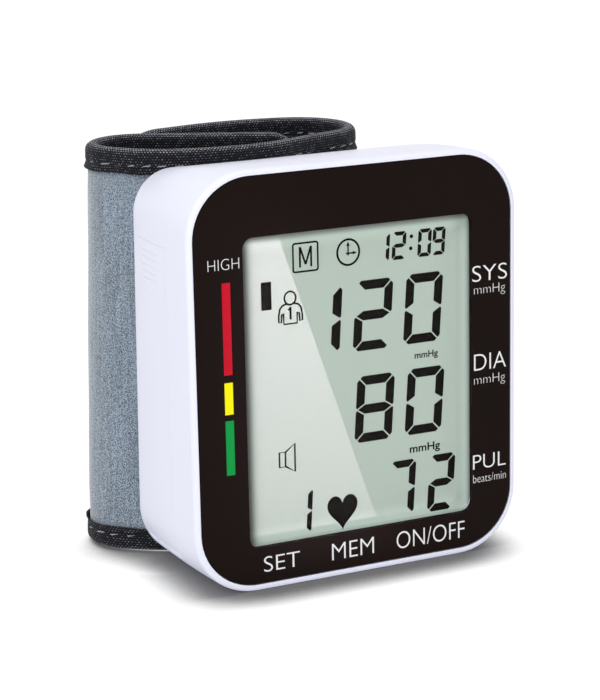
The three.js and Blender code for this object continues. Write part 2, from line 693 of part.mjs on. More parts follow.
function controllerChip() {
  const half = chip.width / 2;
  const y = [onBoardY, onBoardY + chip.thickness];
  return box(grownRange([chip.x, chip.x], half), y, grownRange([chip.z, chip.z], half));
}

function pressureSensor() {
  const half = sensor.width / 2;
  const back = onBoardY + sensor.thickness;
  return joined(
    box(grownRange([branchX, branchX], half), [onBoardY, back], grownRange([sensor.z, sensor.z], half)),
    rodInDepth(sensor.portRadius, branchX, sensor.z, [back - weld, back + sensor.port], tube.sides),
  );
}

const speakerDisc = () => (
  rodInDepth(speaker.radius, speaker.x, speaker.z, [onBoardY, onBoardY + speaker.thickness], speaker.steps)
);

// The air side

const pumpY = cavityBackY - clearance - Math.max(pump.motorRadius, pump.headDepth / 2);
const pumpHeadFoot = pump.foot + pump.motorLength + clearance;
const outletZ = pumpHeadFoot + pump.headHeight / 2;
const outletX = pumpX - pump.headWidth / 2 - pump.outlet;
const airY = rearClearY(branchX, valve.radius) - valve.radius;

const pumpMotor = () => (
  rodInHeight(pump.motorRadius, pumpX, pumpY, [pump.foot, pump.foot + pump.motorLength], pump.steps)
);

function pumpHead() {
  const side = pumpX - pump.headWidth / 2;
  return joined(
    box(
      [side, side + pump.headWidth], grownRange([pumpY, pumpY], pump.headDepth / 2),
      [pumpHeadFoot, pumpHeadFoot + pump.headHeight],
    ),
    rodInWidth(pump.outletRadius, pumpY, outletZ, [outletX, side + weld], tube.sides),
  );
}

function exhaustValve() {
  const top = valve.foot + valve.length;
  return joined(
    rodInHeight(valve.radius, branchX, airY, [valve.foot, top], valve.steps),
    rodInHeight(valve.portRadius, branchX, airY, [top - weld, top + valve.port], tube.sides),
  );
}

function branchPiece() {
  const half = branch.width / 2;
  const z = grownRange([branch.z, branch.z], branch.height / 2);
  const reach = half + branch.stub;
  return joined(
    box(grownRange([branchX, branchX], half), grownRange([airY, airY], half), z),
    rodInHeight(branch.stubRadius, branchX, airY, grownRange(z, branch.stub), tube.sides),
    rodInWidth(branch.stubRadius, airY, branch.z, [branchX, branchX + reach], tube.sides),
    rodInDepth(branch.stubRadius, branchX, branch.z, [airY, airY + reach], tube.sides),
  );
}

// A tube that leaves its two ends squarely, each for some way, and bends between them.
function airTube(start, startWay, endWay, end) {
  const section = Array.from({ length: tube.sides }, (_, i) => {
    const angle = (i / tube.sides) * fullTurn;
    return new THREE.Vector2(tube.radius * Math.cos(angle), tube.radius * Math.sin(angle));
  });
  const [first, second, third, last] = [start, startWay, endWay, end].map((place) => (
    new THREE.Vector3(...place)
  ));
  const path = new THREE.CubicBezierCurve3(first, first.clone().add(second), last.clone().add(third), last);
  return new THREE.ExtrudeGeometry(new THREE.Shape(section), { steps: tube.steps, extrudePath: path });
}

function pumpTube() {
  const startX = branchX + branch.width / 2 + branch.stub + tube.endGap;
  const endX = outletX - tube.endGap;
  return airTube([startX, airY, branch.z], [tube.lead, 0, 0], [-tube.lead, 0, 0], [endX, pumpY, outletZ]);
}

function sensorTube() {
  const foot = branch.z + branch.height / 2 + branch.stub + tube.endGap;
  const portY = onBoardY + sensor.thickness + sensor.port + tube.endGap;
  return airTube([branchX, airY, foot], [0, 0, tube.lead], [0, tube.bend, 0], [branchX, portY, sensor.z]);
}

function valveTube() {
  const foot = valve.foot + valve.length + valve.port + tube.endGap;
  const top = branch.z - branch.height / 2 - branch.stub - tube.endGap;
  return airTube([branchX, airY, foot], [0, 0, tube.bend], [0, 0, -tube.bend], [branchX, airY, top]);
}

function cuffNozzle() {
  const start = airY + branch.width / 2 + branch.stub + tube.endGap;
  const inside = solid(bandLayer({
    from: 0, to: bend.flap, inner: -overrun, outer: cuffShell.gap + nozzle.endGap - clearance, edge: 0,
  }));
  return rodInDepth(nozzle.radius, branchX, branch.z, [start, backY + cuff.halfThickness], nozzle.steps)
    .subtract(inside);
}

// The cells and their contacts

function batteryCell(x, y, foot, turnedOver) {
  const shoulder = cell.length - cell.nub;
  const upright = turned([
    [0, 0], [cell.radius - cell.edge, 0], [cell.radius, cell.edge], [cell.radius, shoulder - cell.edge],
    [cell.radius - cell.edge, shoulder], [cell.nubRadius, shoulder], [cell.nubRadius, cell.length],
    [0, cell.length],
  ], cell.steps);
  const placed = turnedOver ? upright.rotate([180, 0, 0]).translate([0, 0, cell.length]) : upright;
  return placed.translate([x, y, foot]);
}

// A cone of wire on a spiral, its wide end on the plate and its narrow end against the cell.
class ConeSpiral extends THREE.Curve {
  constructor(x, y, plateZ, up) {
    super();
    Object.assign(this, { x, y, plateZ, up });
  }

  getPoint(t, target = new THREE.Vector3()) {
    const angle = t * coil.curls * fullTurn;
    const radius = THREE.MathUtils.lerp(coil.radius, coil.tipRadius, t) - coil.wire;
    const height = this.up * (coil.wire + t * (coil.length - 2 * coil.wire));
    return target.set(this.x + radius * Math.cos(angle), this.y + radius * Math.sin(angle), this.plateZ + height);
  }
}

function coilContact(x, y, plateZ, up) {
  const section = Array.from({ length: coil.sides }, (_, i) => {
    const angle = (i / coil.sides) * fullTurn;
    return new THREE.Vector2(coil.wire * Math.cos(angle), coil.wire * Math.sin(angle));
  });
  const curve = new ConeSpiral(x, y, plateZ, up);
  curve.arcLengthDivisions = coil.curls * coil.curlSteps;
  return new THREE.ExtrudeGeometry(new THREE.Shape(section), {
    steps: coil.curls * coil.curlSteps, extrudePath: curve,
  });
}

function plateContact(x, y, z) {
  const half = contact.width / 2;
  return box([x - half, x + half], [y - half, y + half], [z, z + contact.thickness]);
}

const footPlateZ = bay.foot + contact.gap;
const topPlateZ = bayTop - contact.gap - contact.thickness;
const footCoilZ = footPlateZ + contact.thickness + contact.gap;
const topCoilZ = topPlateZ - contact.gap;
const outerCellFoot = footCoilZ + coil.length + contact.gap;
const innerCellFoot = footCoilZ;

// One metal strip joins the two cells at the top.
function bridgeContact() {
  const half = contact.width / 2;
  const y = [Math.min(outerCellY, innerCellY) - half, Math.max(outerCellY, innerCellY) + half];
  return box([outerCellX - half, innerCellX + half], y, [topPlateZ, topPlateZ + contact.thickness]);
}

// Fasteners

function screw({ headRadius, headHeight, shankRadius, shankLength, steps }, x, headY, z) {
  const profile = [
    [0, -shankLength], [shankRadius, -shankLength], [shankRadius, 0], [headRadius, 0],
    [headRadius, headHeight], [0, headHeight],
  ];
  const points = profile.map(([radius, height]) => new THREE.Vector2(radius, height));
  return solid(new THREE.LatheGeometry(points, steps)).translate([x, headY, z]);
}

// One spring clip holds the two studs at one height, across the deepest part of the seat.
const clipSides = grownRange(studXs, studClip.reach);

function studBar(z) {
  const depth = [clipBackY - studClip.thickness, clipBackY];
  const holes = studs.filter((place) => place[1] === z).map(([x]) => (
    rodInDepth(cuffShell.studRadius + studClip.gap, x, z, grownRange(depth, weld), studClip.steps)
  ));
  const bar = box(clipSides, depth, grownRange([z, z], studClip.reach));
  return holes.reduce((strip, hole) => strip.subtract(hole), bar);
}

// The cuff

// The springy shell in the band, with studs that go through the outer fabric and the case's back.
function springShell() {
  const outer = cuffShell.gap + cuffShell.thickness;
  const sheet = solid(bandLayer({
    from: -cuffShell.left, to: cuffShell.right, inner: cuffShell.gap, outer, edge: cuffShell.edge,
  }));
  const inside = solid(bandLayer({
    from: -bend.tongue, to: bend.flap, inner: -overrun, outer: cuffShell.gap, edge: 0,
  }));
  const pins = studs.map(([x, z]) => {
    const tip = clipBackY - studClip.thickness - cuffShell.studTip;
    return rodInDepth(cuffShell.studRadius, x, z, [tip, backY + cuff.halfThickness], studClip.steps);
  });
  const hole = rodInDepth(
    nozzle.radius + nozzle.holeGap, branchX, branch.z, [seatY - overrun, backY + overrun], nozzle.steps,
  );
  return joined(sheet, ...pins.map((pin) => pin.subtract(inside))).subtract(hole);
}

const airBladder = () => bandLayer({
  from: -bladder.left, to: bladder.right, inner: -cuffShell.gap - cuffShell.thickness, outer: -cuffShell.gap,
  edge: bladder.edge,
});

const halfGap = cuff.hingeGap / 2;
const stretches = {
  fixed: { from: -bend.tongue + halfGap, to: bend.flap - halfGap },
  tongue: { from: tongueEnd, to: -bend.tongue - halfGap, freeEnd: -1, radius: binding.tongueCorner },
  flap_root: { from: bend.flap + halfGap, to: bend.flapTip - halfGap },
  flap: { from: bend.flapTip + halfGap, to: flapEnd, freeEnd: 1, radius: binding.flapCorner },
};

// The outer fabric or the lining of one stretch, ending inside the binding.
function fabricLayer(stretch, side) {
  const edge = binding.wall + fabric.edgeGap;
  const { from, to, freeEnd = 0, radius = 0 } = stretch;
  const offsets = [side * fabricInner, side * fabricOuter].sort((a, b) => a - b);
  return bandLayer({
    from: freeEnd < 0 ? from + edge : from, to: freeEnd > 0 ? to - edge : to,
    inner: offsets[0], outer: offsets[1], edge, freeEnd, radius: Math.max(0, radius - edge),
  });
}

function fixedOuterFabric() {
  const reach = [seatY - overrun, backY + overrun];
  const holes = studs.map(([x, z]) => (
    rodInDepth(cuffShell.studRadius + clearance, x, z, reach, studClip.steps)
  ));
  holes.push(rodInDepth(nozzle.radius + nozzle.holeGap, branchX, branch.z, reach, nozzle.steps));
  return holes.reduce((sheet, hole) => sheet.subtract(hole), solid(fabricLayer(stretches.fixed, 1)));
}

const hookEnd = flapEnd - binding.reach - hookPatch.bindingGap;
const hookStrip = () => bandLayer({
  from: hookEnd - hookPatch.length, to: hookEnd,
  inner: -fabricOuter - hookPatch.gap - hookPatch.thickness, outer: -fabricOuter - hookPatch.gap,
  edge: hookPatch.edge,
});

// Materials and the assembled device

const finish = (color, roughness, metalness = 0) => (
  new THREE.MeshStandardMaterial({ color, roughness, metalness })
);
const finishes = {
  white: () => finish(0xe8ebf4, 0.35),
  black: () => finish(0x221915, 0.3),
  clear: () => finish(0xf2f6f4, 0.05),
  display: () => finish(0xb5c4ba, 0.3),
  grey: () => finish(0x8f9396, 0.5),
  board: () => finish(0x1f6b3a, 0.5),
  chip: () => finish(0x1c1c1e, 0.45),
  steel: () => finish(0xb9bcc0, 0.3, 1),
  brass: () => finish(0xc9a35a, 0.35, 1),
  rubber: () => finish(0xd9d9d2, 0.7),
  cell: () => finish(0x2c2f36, 0.35, 0.4),
  fabric: () => finish(0x93a3ad, 0.95),
  lining: () => finish(0x2b2d33, 0.95),
  tape: () => finish(0x26272b, 0.9),
  hook: () => finish(0x1b1b1d, 0.9),
};

const device = new THREE.Group();

function add(name, shape, material) {
  const geometry = shape instanceof THREE.BufferGeometry ? shape : geometryOf(shape);
  const mesh = new THREE.Mesh(geometry, material());
  mesh.name = name;
  device.add(mesh);
}

add('front_case', frontCase(), finishes.white);
add('rear_case', rearCase(), finishes.white);
add('battery_cover', batteryCover(), finishes.white);
add('front_panel', frontPanel(), finishes.black);
add('display_window', displayWindow(), finishes.clear);
add('display_glass', displayGlass(), finishes.display);
add('display_frame', displayFrame(), finishes.grey);
add('elastomer_strip', elastomerStrip(), finishes.rubber);
add('main_board', mainBoard(), finishes.board);
add('controller_chip', controllerChip(), finishes.chip);
add('pressure_sensor', pressureSensor(), finishes.chip);
add('speaker_disc', speakerDisc(), finishes.brass);
for (const [name, share] of Object.entries(keyPlaceShares)) {
  const x = caseWidth * share;
  add(`${name}_key`, pushKey(x), finishes.white);
  add(`${name}_switch`, keySwitch(x), finishes.chip);
}

add('pump_motor', pumpMotor(), finishes.steel);
add('pump_head', pumpHead(), finishes.chip);
add('exhaust_valve', exhaustValve(), finishes.steel);
add('branch_piece', branchPiece(), finishes.white);
add('pump_tube', pumpTube(), finishes.rubber);
add('sensor_tube', sensorTube(), finishes.rubber);
add('valve_tube', valveTube(), finishes.rubber);
add('cuff_nozzle', cuffNozzle(), finishes.white);

add('outer_cell', batteryCell(outerCellX, outerCellY, outerCellFoot, false), finishes.cell);
add('inner_cell', batteryCell(innerCellX, innerCellY, innerCellFoot, true), finishes.cell);
add('coil_contact_foot', coilContact(outerCellX, outerCellY, footCoilZ, 1), finishes.steel);
add('coil_contact_top', coilContact(innerCellX, innerCellY, topCoilZ, -1), finishes.steel);
add('plate_contact_outer', plateContact(outerCellX, outerCellY, footPlateZ), finishes.steel);
add('plate_contact_inner', plateContact(innerCellX, innerCellY, footPlateZ), finishes.steel);
add('bridge_contact', bridgeContact(), finishes.steel);

screwPlaces.forEach(([x, z], i) => {
  add(`case_screw_${i + 1}`, screw(caseScrew, x, backY - caseScrew.headDepth + clearance, z), finishes.steel);
});
boardScrewPlaces.forEach(([x, z], i) => {
  add(`board_screw_${i + 1}`, screw(boardScrew, x, boardBackY + boardScrew.holeGap / 2, z), finishes.steel);
});
add('stud_clip_foot', studBar(studZs[0]), finishes.steel);
add('stud_clip_top', studBar(studZs[1]), finishes.steel);

add('cuff_shell', springShell(), finishes.grey);
add('air_bladder', airBladder(), finishes.rubber);
add('hook_patch', hookStrip(), finishes.hook);
for (const [name, stretch] of Object.entries(stretches)) {
  const outerFabric = name === 'fixed' ? fixedOuterFabric() : fabricLayer(stretch, 1);
  add(`cuff_${name}_fabric`, outerFabric, finishes.fabric);
  add(`cuff_${name}_lining`, fabricLayer(stretch, -1), finishes.lining);
}
for (const name of ['fixed', 'flap_root']) {
  const { from, to } = stretches[name];
  add(`cuff_${name}_top_binding`, bindingTape(straightEdge(from, to, 1)), finishes.tape);
  add(`cuff_${name}_foot_binding`, bindingTape(straightEdge(from, to, -1)), finishes.tape);
}
for (const [name, hinge, end] of [
  ['tongue', stretches.tongue.to, tongueEnd],
  ['flap', stretches.flap.from, flapEnd],
]) {
  add(`cuff_${name}_binding`, bindingTape(freeEdge(hinge, end, stretches[name].radius)), finishes.tape);
}

// Where the moving pieces turn: upright lines on the band's outer face, and the ways that slide.
const hingeLine = (s) => bandPoint(stationAt(s), cuff.halfThickness, 0).toArray();
device.userData.joints = {
  tongue: hingeLine(-bend.tongue),
  flapRoot: hingeLine(bend.flap),
  flapTip: hingeLine(bend.flapTip),
  keyTravel: key.travel,
  coverTravel: cover.travel,
};

export default device;
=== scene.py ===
import json
import math

import bmesh
import bpy
import numpy as np
from mathutils import Matrix, Vector


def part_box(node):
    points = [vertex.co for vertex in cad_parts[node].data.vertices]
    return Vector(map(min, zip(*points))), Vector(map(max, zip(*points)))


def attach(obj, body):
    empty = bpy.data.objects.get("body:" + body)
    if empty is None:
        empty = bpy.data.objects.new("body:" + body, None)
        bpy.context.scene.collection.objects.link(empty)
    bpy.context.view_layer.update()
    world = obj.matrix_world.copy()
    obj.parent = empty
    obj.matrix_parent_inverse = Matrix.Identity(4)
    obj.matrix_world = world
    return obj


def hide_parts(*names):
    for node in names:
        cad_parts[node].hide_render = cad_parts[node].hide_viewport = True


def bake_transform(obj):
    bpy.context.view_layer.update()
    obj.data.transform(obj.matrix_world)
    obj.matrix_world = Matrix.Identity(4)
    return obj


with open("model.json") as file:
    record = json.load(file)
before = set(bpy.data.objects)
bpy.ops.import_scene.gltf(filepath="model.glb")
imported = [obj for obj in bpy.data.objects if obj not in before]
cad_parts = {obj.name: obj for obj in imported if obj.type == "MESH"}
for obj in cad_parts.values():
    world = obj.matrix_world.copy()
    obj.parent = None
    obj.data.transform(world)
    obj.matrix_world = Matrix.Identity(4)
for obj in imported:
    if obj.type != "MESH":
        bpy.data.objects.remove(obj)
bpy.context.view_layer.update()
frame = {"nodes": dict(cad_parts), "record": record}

print("frame loaded")

# Shapes are worked out in millimetres in the CAD's frame, and are scaled once, when a mesh is made.
mm = 0.001
quarter = math.pi / 2
overrun = 5.0  # how far a cut goes past the case
outside = 60.0  # a place well to the left of it
weld = 0.4  # how far one body of a shell sinks into the next


# Meshes

def nodeRange(node):  # a CAD node's lowest and highest corner, in millimetres
    low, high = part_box(node)
    return np.array(low) / mm, np.array(high) / mm


# Quads between the rows and columns of a grid of points, going round where a direction is closed.
def gridFaces(rows, columns, closedRows=False, closedColumns=True):
    row = np.arange(rows if closedRows else rows - 1)[:, None]
    column = np.arange(columns if closedColumns else columns - 1)[None, :]
    nextRow, nextColumn = (row + 1) % rows, (column + 1) % columns
    corners = [row * columns + column, row * columns + nextColumn]
    corners += [nextRow * columns + nextColumn, nextRow * columns + column]
    return np.stack(np.broadcast_arrays(*corners), -1).reshape(-1, 4)


def endFaces(rows, columns):  # one flat face over the first ring and one over the last
    return np.stack([np.arange(columns)[::-1], np.arange(columns) + (rows - 1) * columns])


def makeMesh(name, points, *faceSets):
    points = np.asarray(points, float).reshape(-1, 3) * mm
    sizes = np.concatenate([np.full(len(faces), faces.shape[1]) for faces in faceSets])
    corners = np.concatenate([faces.ravel() for faces in faceSets])
    mesh = bpy.data.meshes.new(name)
    mesh.vertices.add(len(points))
    mesh.vertices.foreach_set("co", points.ravel())
    mesh.loops.add(len(corners))
    mesh.loops.foreach_set("vertex_index", corners.astype(np.int32))
    mesh.polygons.add(len(sizes))
    mesh.polygons.foreach_set("loop_start", np.concatenate([[0], np.cumsum(sizes)[:-1]]).astype(np.int32))
    mesh.update(calc_edges=True)
    return mesh


# Turns all faces of closed bodies out, once points that lie together are merged, where a distance is given.
def outwards(mesh, mergeWithin=None):
    edit = bmesh.new()
    edit.from_mesh(mesh)
    if mergeWithin:
        bmesh.ops.remove_doubles(edit, verts=edit.verts, dist=mergeWithin)
    bmesh.ops.recalc_face_normals(edit, faces=edit.faces)
    edit.to_mesh(mesh)
    edit.free()
    return mesh


# A skin over rings of equally many points: closed into a tube ring by ring, and either joined from the last ring
# to the first or shut by a flat face at each end.
def loft(name, rings, ringShaped=False):
    rings = np.asarray(rings, float)
    count, size = rings.shape[:2]
    faceSets = [gridFaces(count, size, closedRows=ringShaped)]
    if not ringShaped:
        faceSets.append(endFaces(count, size))
    return outwards(makeMesh(name, rings, *faceSets))


def joinedMesh(name, meshes):
    edit = bmesh.new()
    for mesh in meshes:
        edit.from_mesh(mesh)
    whole = bpy.data.meshes.new(name)
    edit.to_mesh(whole)
    edit.free()
    return whole


def addObject(name, data):
    made = bpy.data.objects.new(name, data)
    bpy.context.scene.collection.objects.link(made)
    return made


def finalMesh(holder):  # an object's mesh, with its modifiers or its text worked out
    bpy.context.view_layer.update()
    return bpy.data.meshes.new_from_object(holder.evaluated_get(bpy.context.evaluated_depsgraph_get()))


# A finished piece: its material, the body it rides on and the CAD nodes that it stands for.
def place(name, mesh, material, body=None, replaced=(), creaseDegrees=35):
    mesh.shade_smooth()
    mesh.set_sharp_from_angle(angle=math.radians(creaseDegrees))
    mesh.materials.clear()
    mesh.materials.append(material)
    piece = addObject(name, mesh)
    if body:
        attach(piece, body)
    if replaced:
        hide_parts(*replaced)
    return piece


def combined(mesh, *steps):  # joins, cuts or crosses a mesh with others, one after another
    holder = addObject("holder", mesh)
    tools = []
    for operation, others in steps:
        for other in others:
            tools.append(addObject("tool", other))
            change = holder.modifiers.new(operation, "BOOLEAN")
            change.operation, change.solver, change.object = operation, "MANIFOLD", tools[-1]
    result = finalMesh(holder)
    for item in [holder, *tools]:
        bpy.data.objects.remove(item)
    return result


def boxMesh(x, y, z):
    return loft("box", [[[x[0], y[0], h], [x[1], y[0], h], [x[1], y[1], h], [x[0], y[1], h]] for h in z])


# A flat outline carried from one height or depth to another: columns of the outline go to the named axes.
def prism(outline, axes, across, ends):
    rings = np.zeros((2, len(outline), 3))
    rings[:, :, axes[0]], rings[:, :, axes[1]] = outline[:, 0], outline[:, 1]
    rings[:, :, across] = np.array(ends)[:, None]
    return loft("prism", rings)


# Points of a circle or an oval: centre plus the radii times cosine and sine of equal steps.
def circle(centre, radius, steps=24):
    angle = np.arange(steps) * 2 * math.pi / steps
    return np.asarray(centre) + np.asarray(radius) * np.stack([np.cos(angle), np.sin(angle)], -1)


def rodMesh(centre, radius, ends):  # a rod along the depth, its centre given across and up
    return prism(circle(centre, radius), (0, 2), 1, ends)


# A rectangle with round corners, anticlockwise from the top of its right side. Each corner is a quarter circle
# in equal steps, and each side has equal steps too, so that any two such outlines match point by point.
outlineSteps = {"corner": 14, "side": 8}


def roundedOutline(x, z, footRadius, topRadius):
    radii = np.array([topRadius, topRadius, footRadius, footRadius])
    cornerX = np.array([x[1], x[0], x[0], x[1]]) - np.array([1, -1, -1, 1]) * radii
    cornerZ = np.array([z[1], z[1], z[0], z[0]]) - np.array([1, 1, -1, -1]) * radii
    angle = (np.arange(4)[:, None] + np.linspace(0, 1, outlineSteps["corner"] + 1)) * quarter
    arcs = np.stack([cornerX[:, None] + radii[:, None] * np.cos(angle),
                     cornerZ[:, None] + radii[:, None] * np.sin(angle)], -1)
    share = np.linspace(0, 1, outlineSteps["side"] + 1)[1:-1, None]
    sides = arcs[:, -1:] * (1 - share) + np.roll(arcs, -1, 0)[:, :1] * share
    return np.concatenate([arcs, sides], 1).reshape(-1, 2)


def grown(span, by):
    return [span[0] - by, span[1] + by]


def atDepth(outline, y):  # an outline across and up, as a ring at one depth
    return np.column_stack([outline[:, 0], np.full(len(outline), y), outline[:, 1]])


def eased(share):  # from 0 to 1 with level ends, share squared times 3 less twice the share
    return share * share * (3 - 2 * share)


# Materials

def addNode(tree, kind, sockets=None, **properties):
    made = tree.nodes.new(kind)
    for name, value in properties.items():
        setattr(made, name, value)
    for name, value in (sockets or {}).items():
        if isinstance(value, bpy.types.NodeSocket):
            tree.links.new(value, made.inputs[name])
        else:
            made.inputs[name].default_value = value
    return made


def maths(tree, operation, first, second=0.0, third=0.0):
    return addNode(tree, "ShaderNodeMath", {0: first, 1: second, 2: third}, operation=operation).outputs[0]


def ramp(tree, factor, *stops):  # a colour ramp with stops given as place and linear colour
    made = addNode(tree, "ShaderNodeValToRGB", {"Fac": factor})
    elements = made.color_ramp.elements
    for at, colour in stops[2:]:
        elements.new(at)
    for element, (at, colour) in zip(elements, sorted(stops)):
        element.position, element.color = at, (*colour, 1)
    return made.outputs["Color"]


def rampShade(tree, factor, *stops):  # the same with plain values
    return ramp(tree, factor, *[(at, (value, value, value)) for at, value in stops])


def rise(tree, value, start, end, first, last):  # goes evenly from one number to another, and stays there
    return addNode(tree, "ShaderNodeMapRange", {
        "Value": value, "From Min": start, "From Max": end, "To Min": first, "To Max": last,
    }).outputs[0]


def multiplied(tree, colour, shade):
    return addNode(tree, "ShaderNodeMix", {0: 1.0, 6: colour, 7: shade}, data_type="RGBA",
                   blend_type="MULTIPLY").outputs[2]


def separated(tree, vector):
    return addNode(tree, "ShaderNodeSeparateXYZ", {"Vector": vector}).outputs


def showShader(tree, shader):
    tree.links.new(shader.outputs[0], tree.nodes["Material Output"].inputs["Surface"])


def newGroup(name, inputs, outputs):
    group = bpy.data.node_groups.new(name, "ShaderNodeTree")
    for label, value in inputs.items():
        kind = "NodeSocketVector" if isinstance(value, tuple) else "NodeSocketFloat"
        group.interface.new_socket(label, in_out="INPUT", socket_type=kind).default_value = value
    for label in outputs:
        group.interface.new_socket(label, in_out="OUTPUT", socket_type="NodeSocketFloat")
    return group, addNode(group, "NodeGroupInput").outputs, addNode(group, "NodeGroupOutput").inputs


def useGroup(tree, group, **sockets):
    return addNode(tree, "ShaderNodeGroup", sockets, node_tree=group).outputs


# Fine even grain of moulded surfaces: small noise for height, and a slow wide noise for shade.
def grainGroup():
    group, given, out = newGroup("mouldedGrain", {"Vector": (0, 0, 0), "Fine": 1800.0, "Wide": 40.0},
                                 ("Height", "Shade"))
    for scale, detail, result in (("Fine", 2, "Height"), ("Wide", 3, "Shade")):
        noise = addNode(group, "ShaderNodeTexNoise", {
            "Vector": given["Vector"], "Scale": given[scale], "Detail": detail,
        })
        group.links.new(noise.outputs[0], out[result])
    return group


twillShape = {"slant": 0.7, "rowShift": 0.625, "columns": 0.8, "dullest": 0.5, "chance": 0.45, "peak": 1.5}


# Twill tape: rows of slanted cells that turn back in every other row, each cell a short float of thread, some of
# them lighter than the rest.
def twillGroup():
    group, given, out = newGroup("twillTape", {"Vector": (0, 0, 0), "Pitch": 0.55}, ("Height", "Light"))
    parts = separated(group, given["Vector"])
    along, across = (maths(group, "DIVIDE", part, given["Pitch"]) for part in parts[:2])
    row = maths(group, "FLOOR", across)
    slanted = maths(group, "MULTIPLY_ADD", maths(group, "PINGPONG", across, 1.0), twillShape["slant"], along)
    shifted = maths(group, "MULTIPLY_ADD", row, twillShape["rowShift"], slanted)
    columns = maths(group, "MULTIPLY", shifted, twillShape["columns"])
    humps = []
    for counted in (columns, across):
        inside = maths(group, "FRACT", counted)
        humps.append(maths(group, "SINE", maths(group, "MULTIPLY", inside, math.pi)))
    bulge = maths(group, "MULTIPLY", *humps)
    cellPlace = addNode(group, "ShaderNodeCombineXYZ", {0: maths(group, "FLOOR", columns), 1: row})
    chance = addNode(group, "ShaderNodeTexWhiteNoise", {"Vector": cellPlace.outputs[0]}).outputs["Value"]
    group.links.new(bulge, out["Height"])
    uneven = maths(group, "MULTIPLY_ADD", chance, twillShape["chance"], twillShape["dullest"])
    peaked = maths(group, "POWER", bulge, twillShape["peak"])
    group.links.new(maths(group, "MULTIPLY", uneven, peaked), out["Light"])
    return group


napShape = {"turn": (0, 0, 0.35), "squeeze": (1.0, 0.6, 1), "drawnOut": (1.7, 0.07, 1), "napShare": 1.35,
            "loopSize": 0.8, "loopShare": 0.35}


# Brushed loop cloth: two sizes of wormy noise for the nap, and streaks drawn out along the height.
def napGroup():
    group, given, out = newGroup("brushedNap", {"Vector": (0, 0, 0), "Grain": 2.6}, ("Height", "Speck", "Streak"))
    slanted = addNode(group, "ShaderNodeMapping", {
        "Vector": given["Vector"], "Rotation": napShape["turn"], "Scale": napShape["squeeze"],
    }).outputs[0]
    nap = addNode(group, "ShaderNodeTexNoise", {
        "Vector": slanted, "Scale": given["Grain"], "Detail": 2, "Roughness": 0.7, "Distortion": 0.4,
    })
    loops = addNode(group, "ShaderNodeTexVoronoi", {
        "Vector": slanted, "Scale": maths(group, "MULTIPLY", given["Grain"], napShape["loopSize"]),
    })
    drawn = addNode(group, "ShaderNodeMapping", {"Vector": given["Vector"], "Scale": napShape["drawnOut"]})
    streak = addNode(group, "ShaderNodeTexNoise", {"Vector": drawn.outputs[0], "Scale": 1, "Detail": 3})
    speck = maths(group, "SUBTRACT", maths(group, "MULTIPLY", nap.outputs[0], napShape["napShare"]),
                  maths(group, "MULTIPLY", loops.outputs["Distance"], napShape["loopShare"]))
    group.links.new(speck, out["Height"])
    group.links.new(speck, out["Speck"])
    group.links.new(streak.outputs[0], out["Streak"])
    return group


grain, twill, nap = grainGroup(), twillGroup(), napGroup()


def newMaterial(name, **sockets):
    material = bpy.data.materials.new(name)
    material.use_nodes = True
    tree = material.node_tree
    shader = tree.nodes["Principled BSDF"]
    for label, value in sockets.items():
        shader.inputs[label.replace("_", " ")].default_value = value
    return material, tree, shader


def bump(tree, shader, height, strength, distance):
    made = addNode(tree, "ShaderNodeBump", {"Height": height, "Strength": strength, "Distance": distance})
    tree.links.new(made.outputs[0], shader.inputs["Normal"])


def objectPlace(tree):
    return addNode(tree, "ShaderNodeTexCoord").outputs["Object"]


grainShade = {"dark": 0.3, "light": 0.7, "rougher": 0.1, "bump": 0.4}


# Moulded plastic, rubber and plated metal: the colour drifts a little over the piece and the grain roughens it.
def mouldedMaterial(name, colour, roughness, drift=0.04, depth=0.00001, **sockets):
    material, tree, shader = newMaterial(name, **sockets)
    marks = useGroup(tree, grain, Vector=objectPlace(tree))
    darker = tuple(part * (1 - drift) for part in colour)
    dark, light, rougher = (grainShade[name] for name in ("dark", "light", "rougher"))
    tree.links.new(ramp(tree, marks["Shade"], (dark, darker), (light, colour)), shader.inputs["Base Color"])
    roughnesses = rampShade(tree, marks["Shade"], (dark, roughness * (1 - rougher)),
                            (light, roughness * (1 + rougher)))
    tree.links.new(roughnesses, shader.inputs["Roughness"])
    bump(tree, shader, marks["Height"], grainShade["bump"], depth)
    return material


finishes = {
    "case_white": mouldedMaterial("caseWhite", (0.81, 0.825, 0.95), 0.36, drift=0.015, depth=0.000006,
                                  Specular_IOR_Level=0.35),
    "panel_black": mouldedMaterial("panelBlack", (0.0098, 0.0056, 0.0044), 0.4, drift=0.1, depth=0.000003,
                                   Specular_IOR_Level=0.04),
    "frame_grey": mouldedMaterial("frameGrey", (0.27, 0.29, 0.31), 0.5),
    "soft_rubber": mouldedMaterial("softRubber", (0.69, 0.69, 0.64), 0.6, Subsurface_Weight=0.1),
    "board_green": mouldedMaterial("boardGreen", (0.014, 0.15, 0.042), 0.4, drift=0.2),
    "chip_black": mouldedMaterial("chipBlack", (0.012, 0.012, 0.013), 0.5),
    "contact_brass": mouldedMaterial("contactBrass", (0.58, 0.37, 0.10), 0.35, Metallic=1.0),
    "metal_steel": mouldedMaterial("platedSteel", (0.49, 0.50, 0.53), 0.3, Metallic=1.0),
    "cell_jacket": mouldedMaterial("cellJacket", (0.025, 0.028, 0.037), 0.35, Metallic=0.4),
    "shell_grey": mouldedMaterial("springShell", (0.27, 0.29, 0.31), 0.45),
}
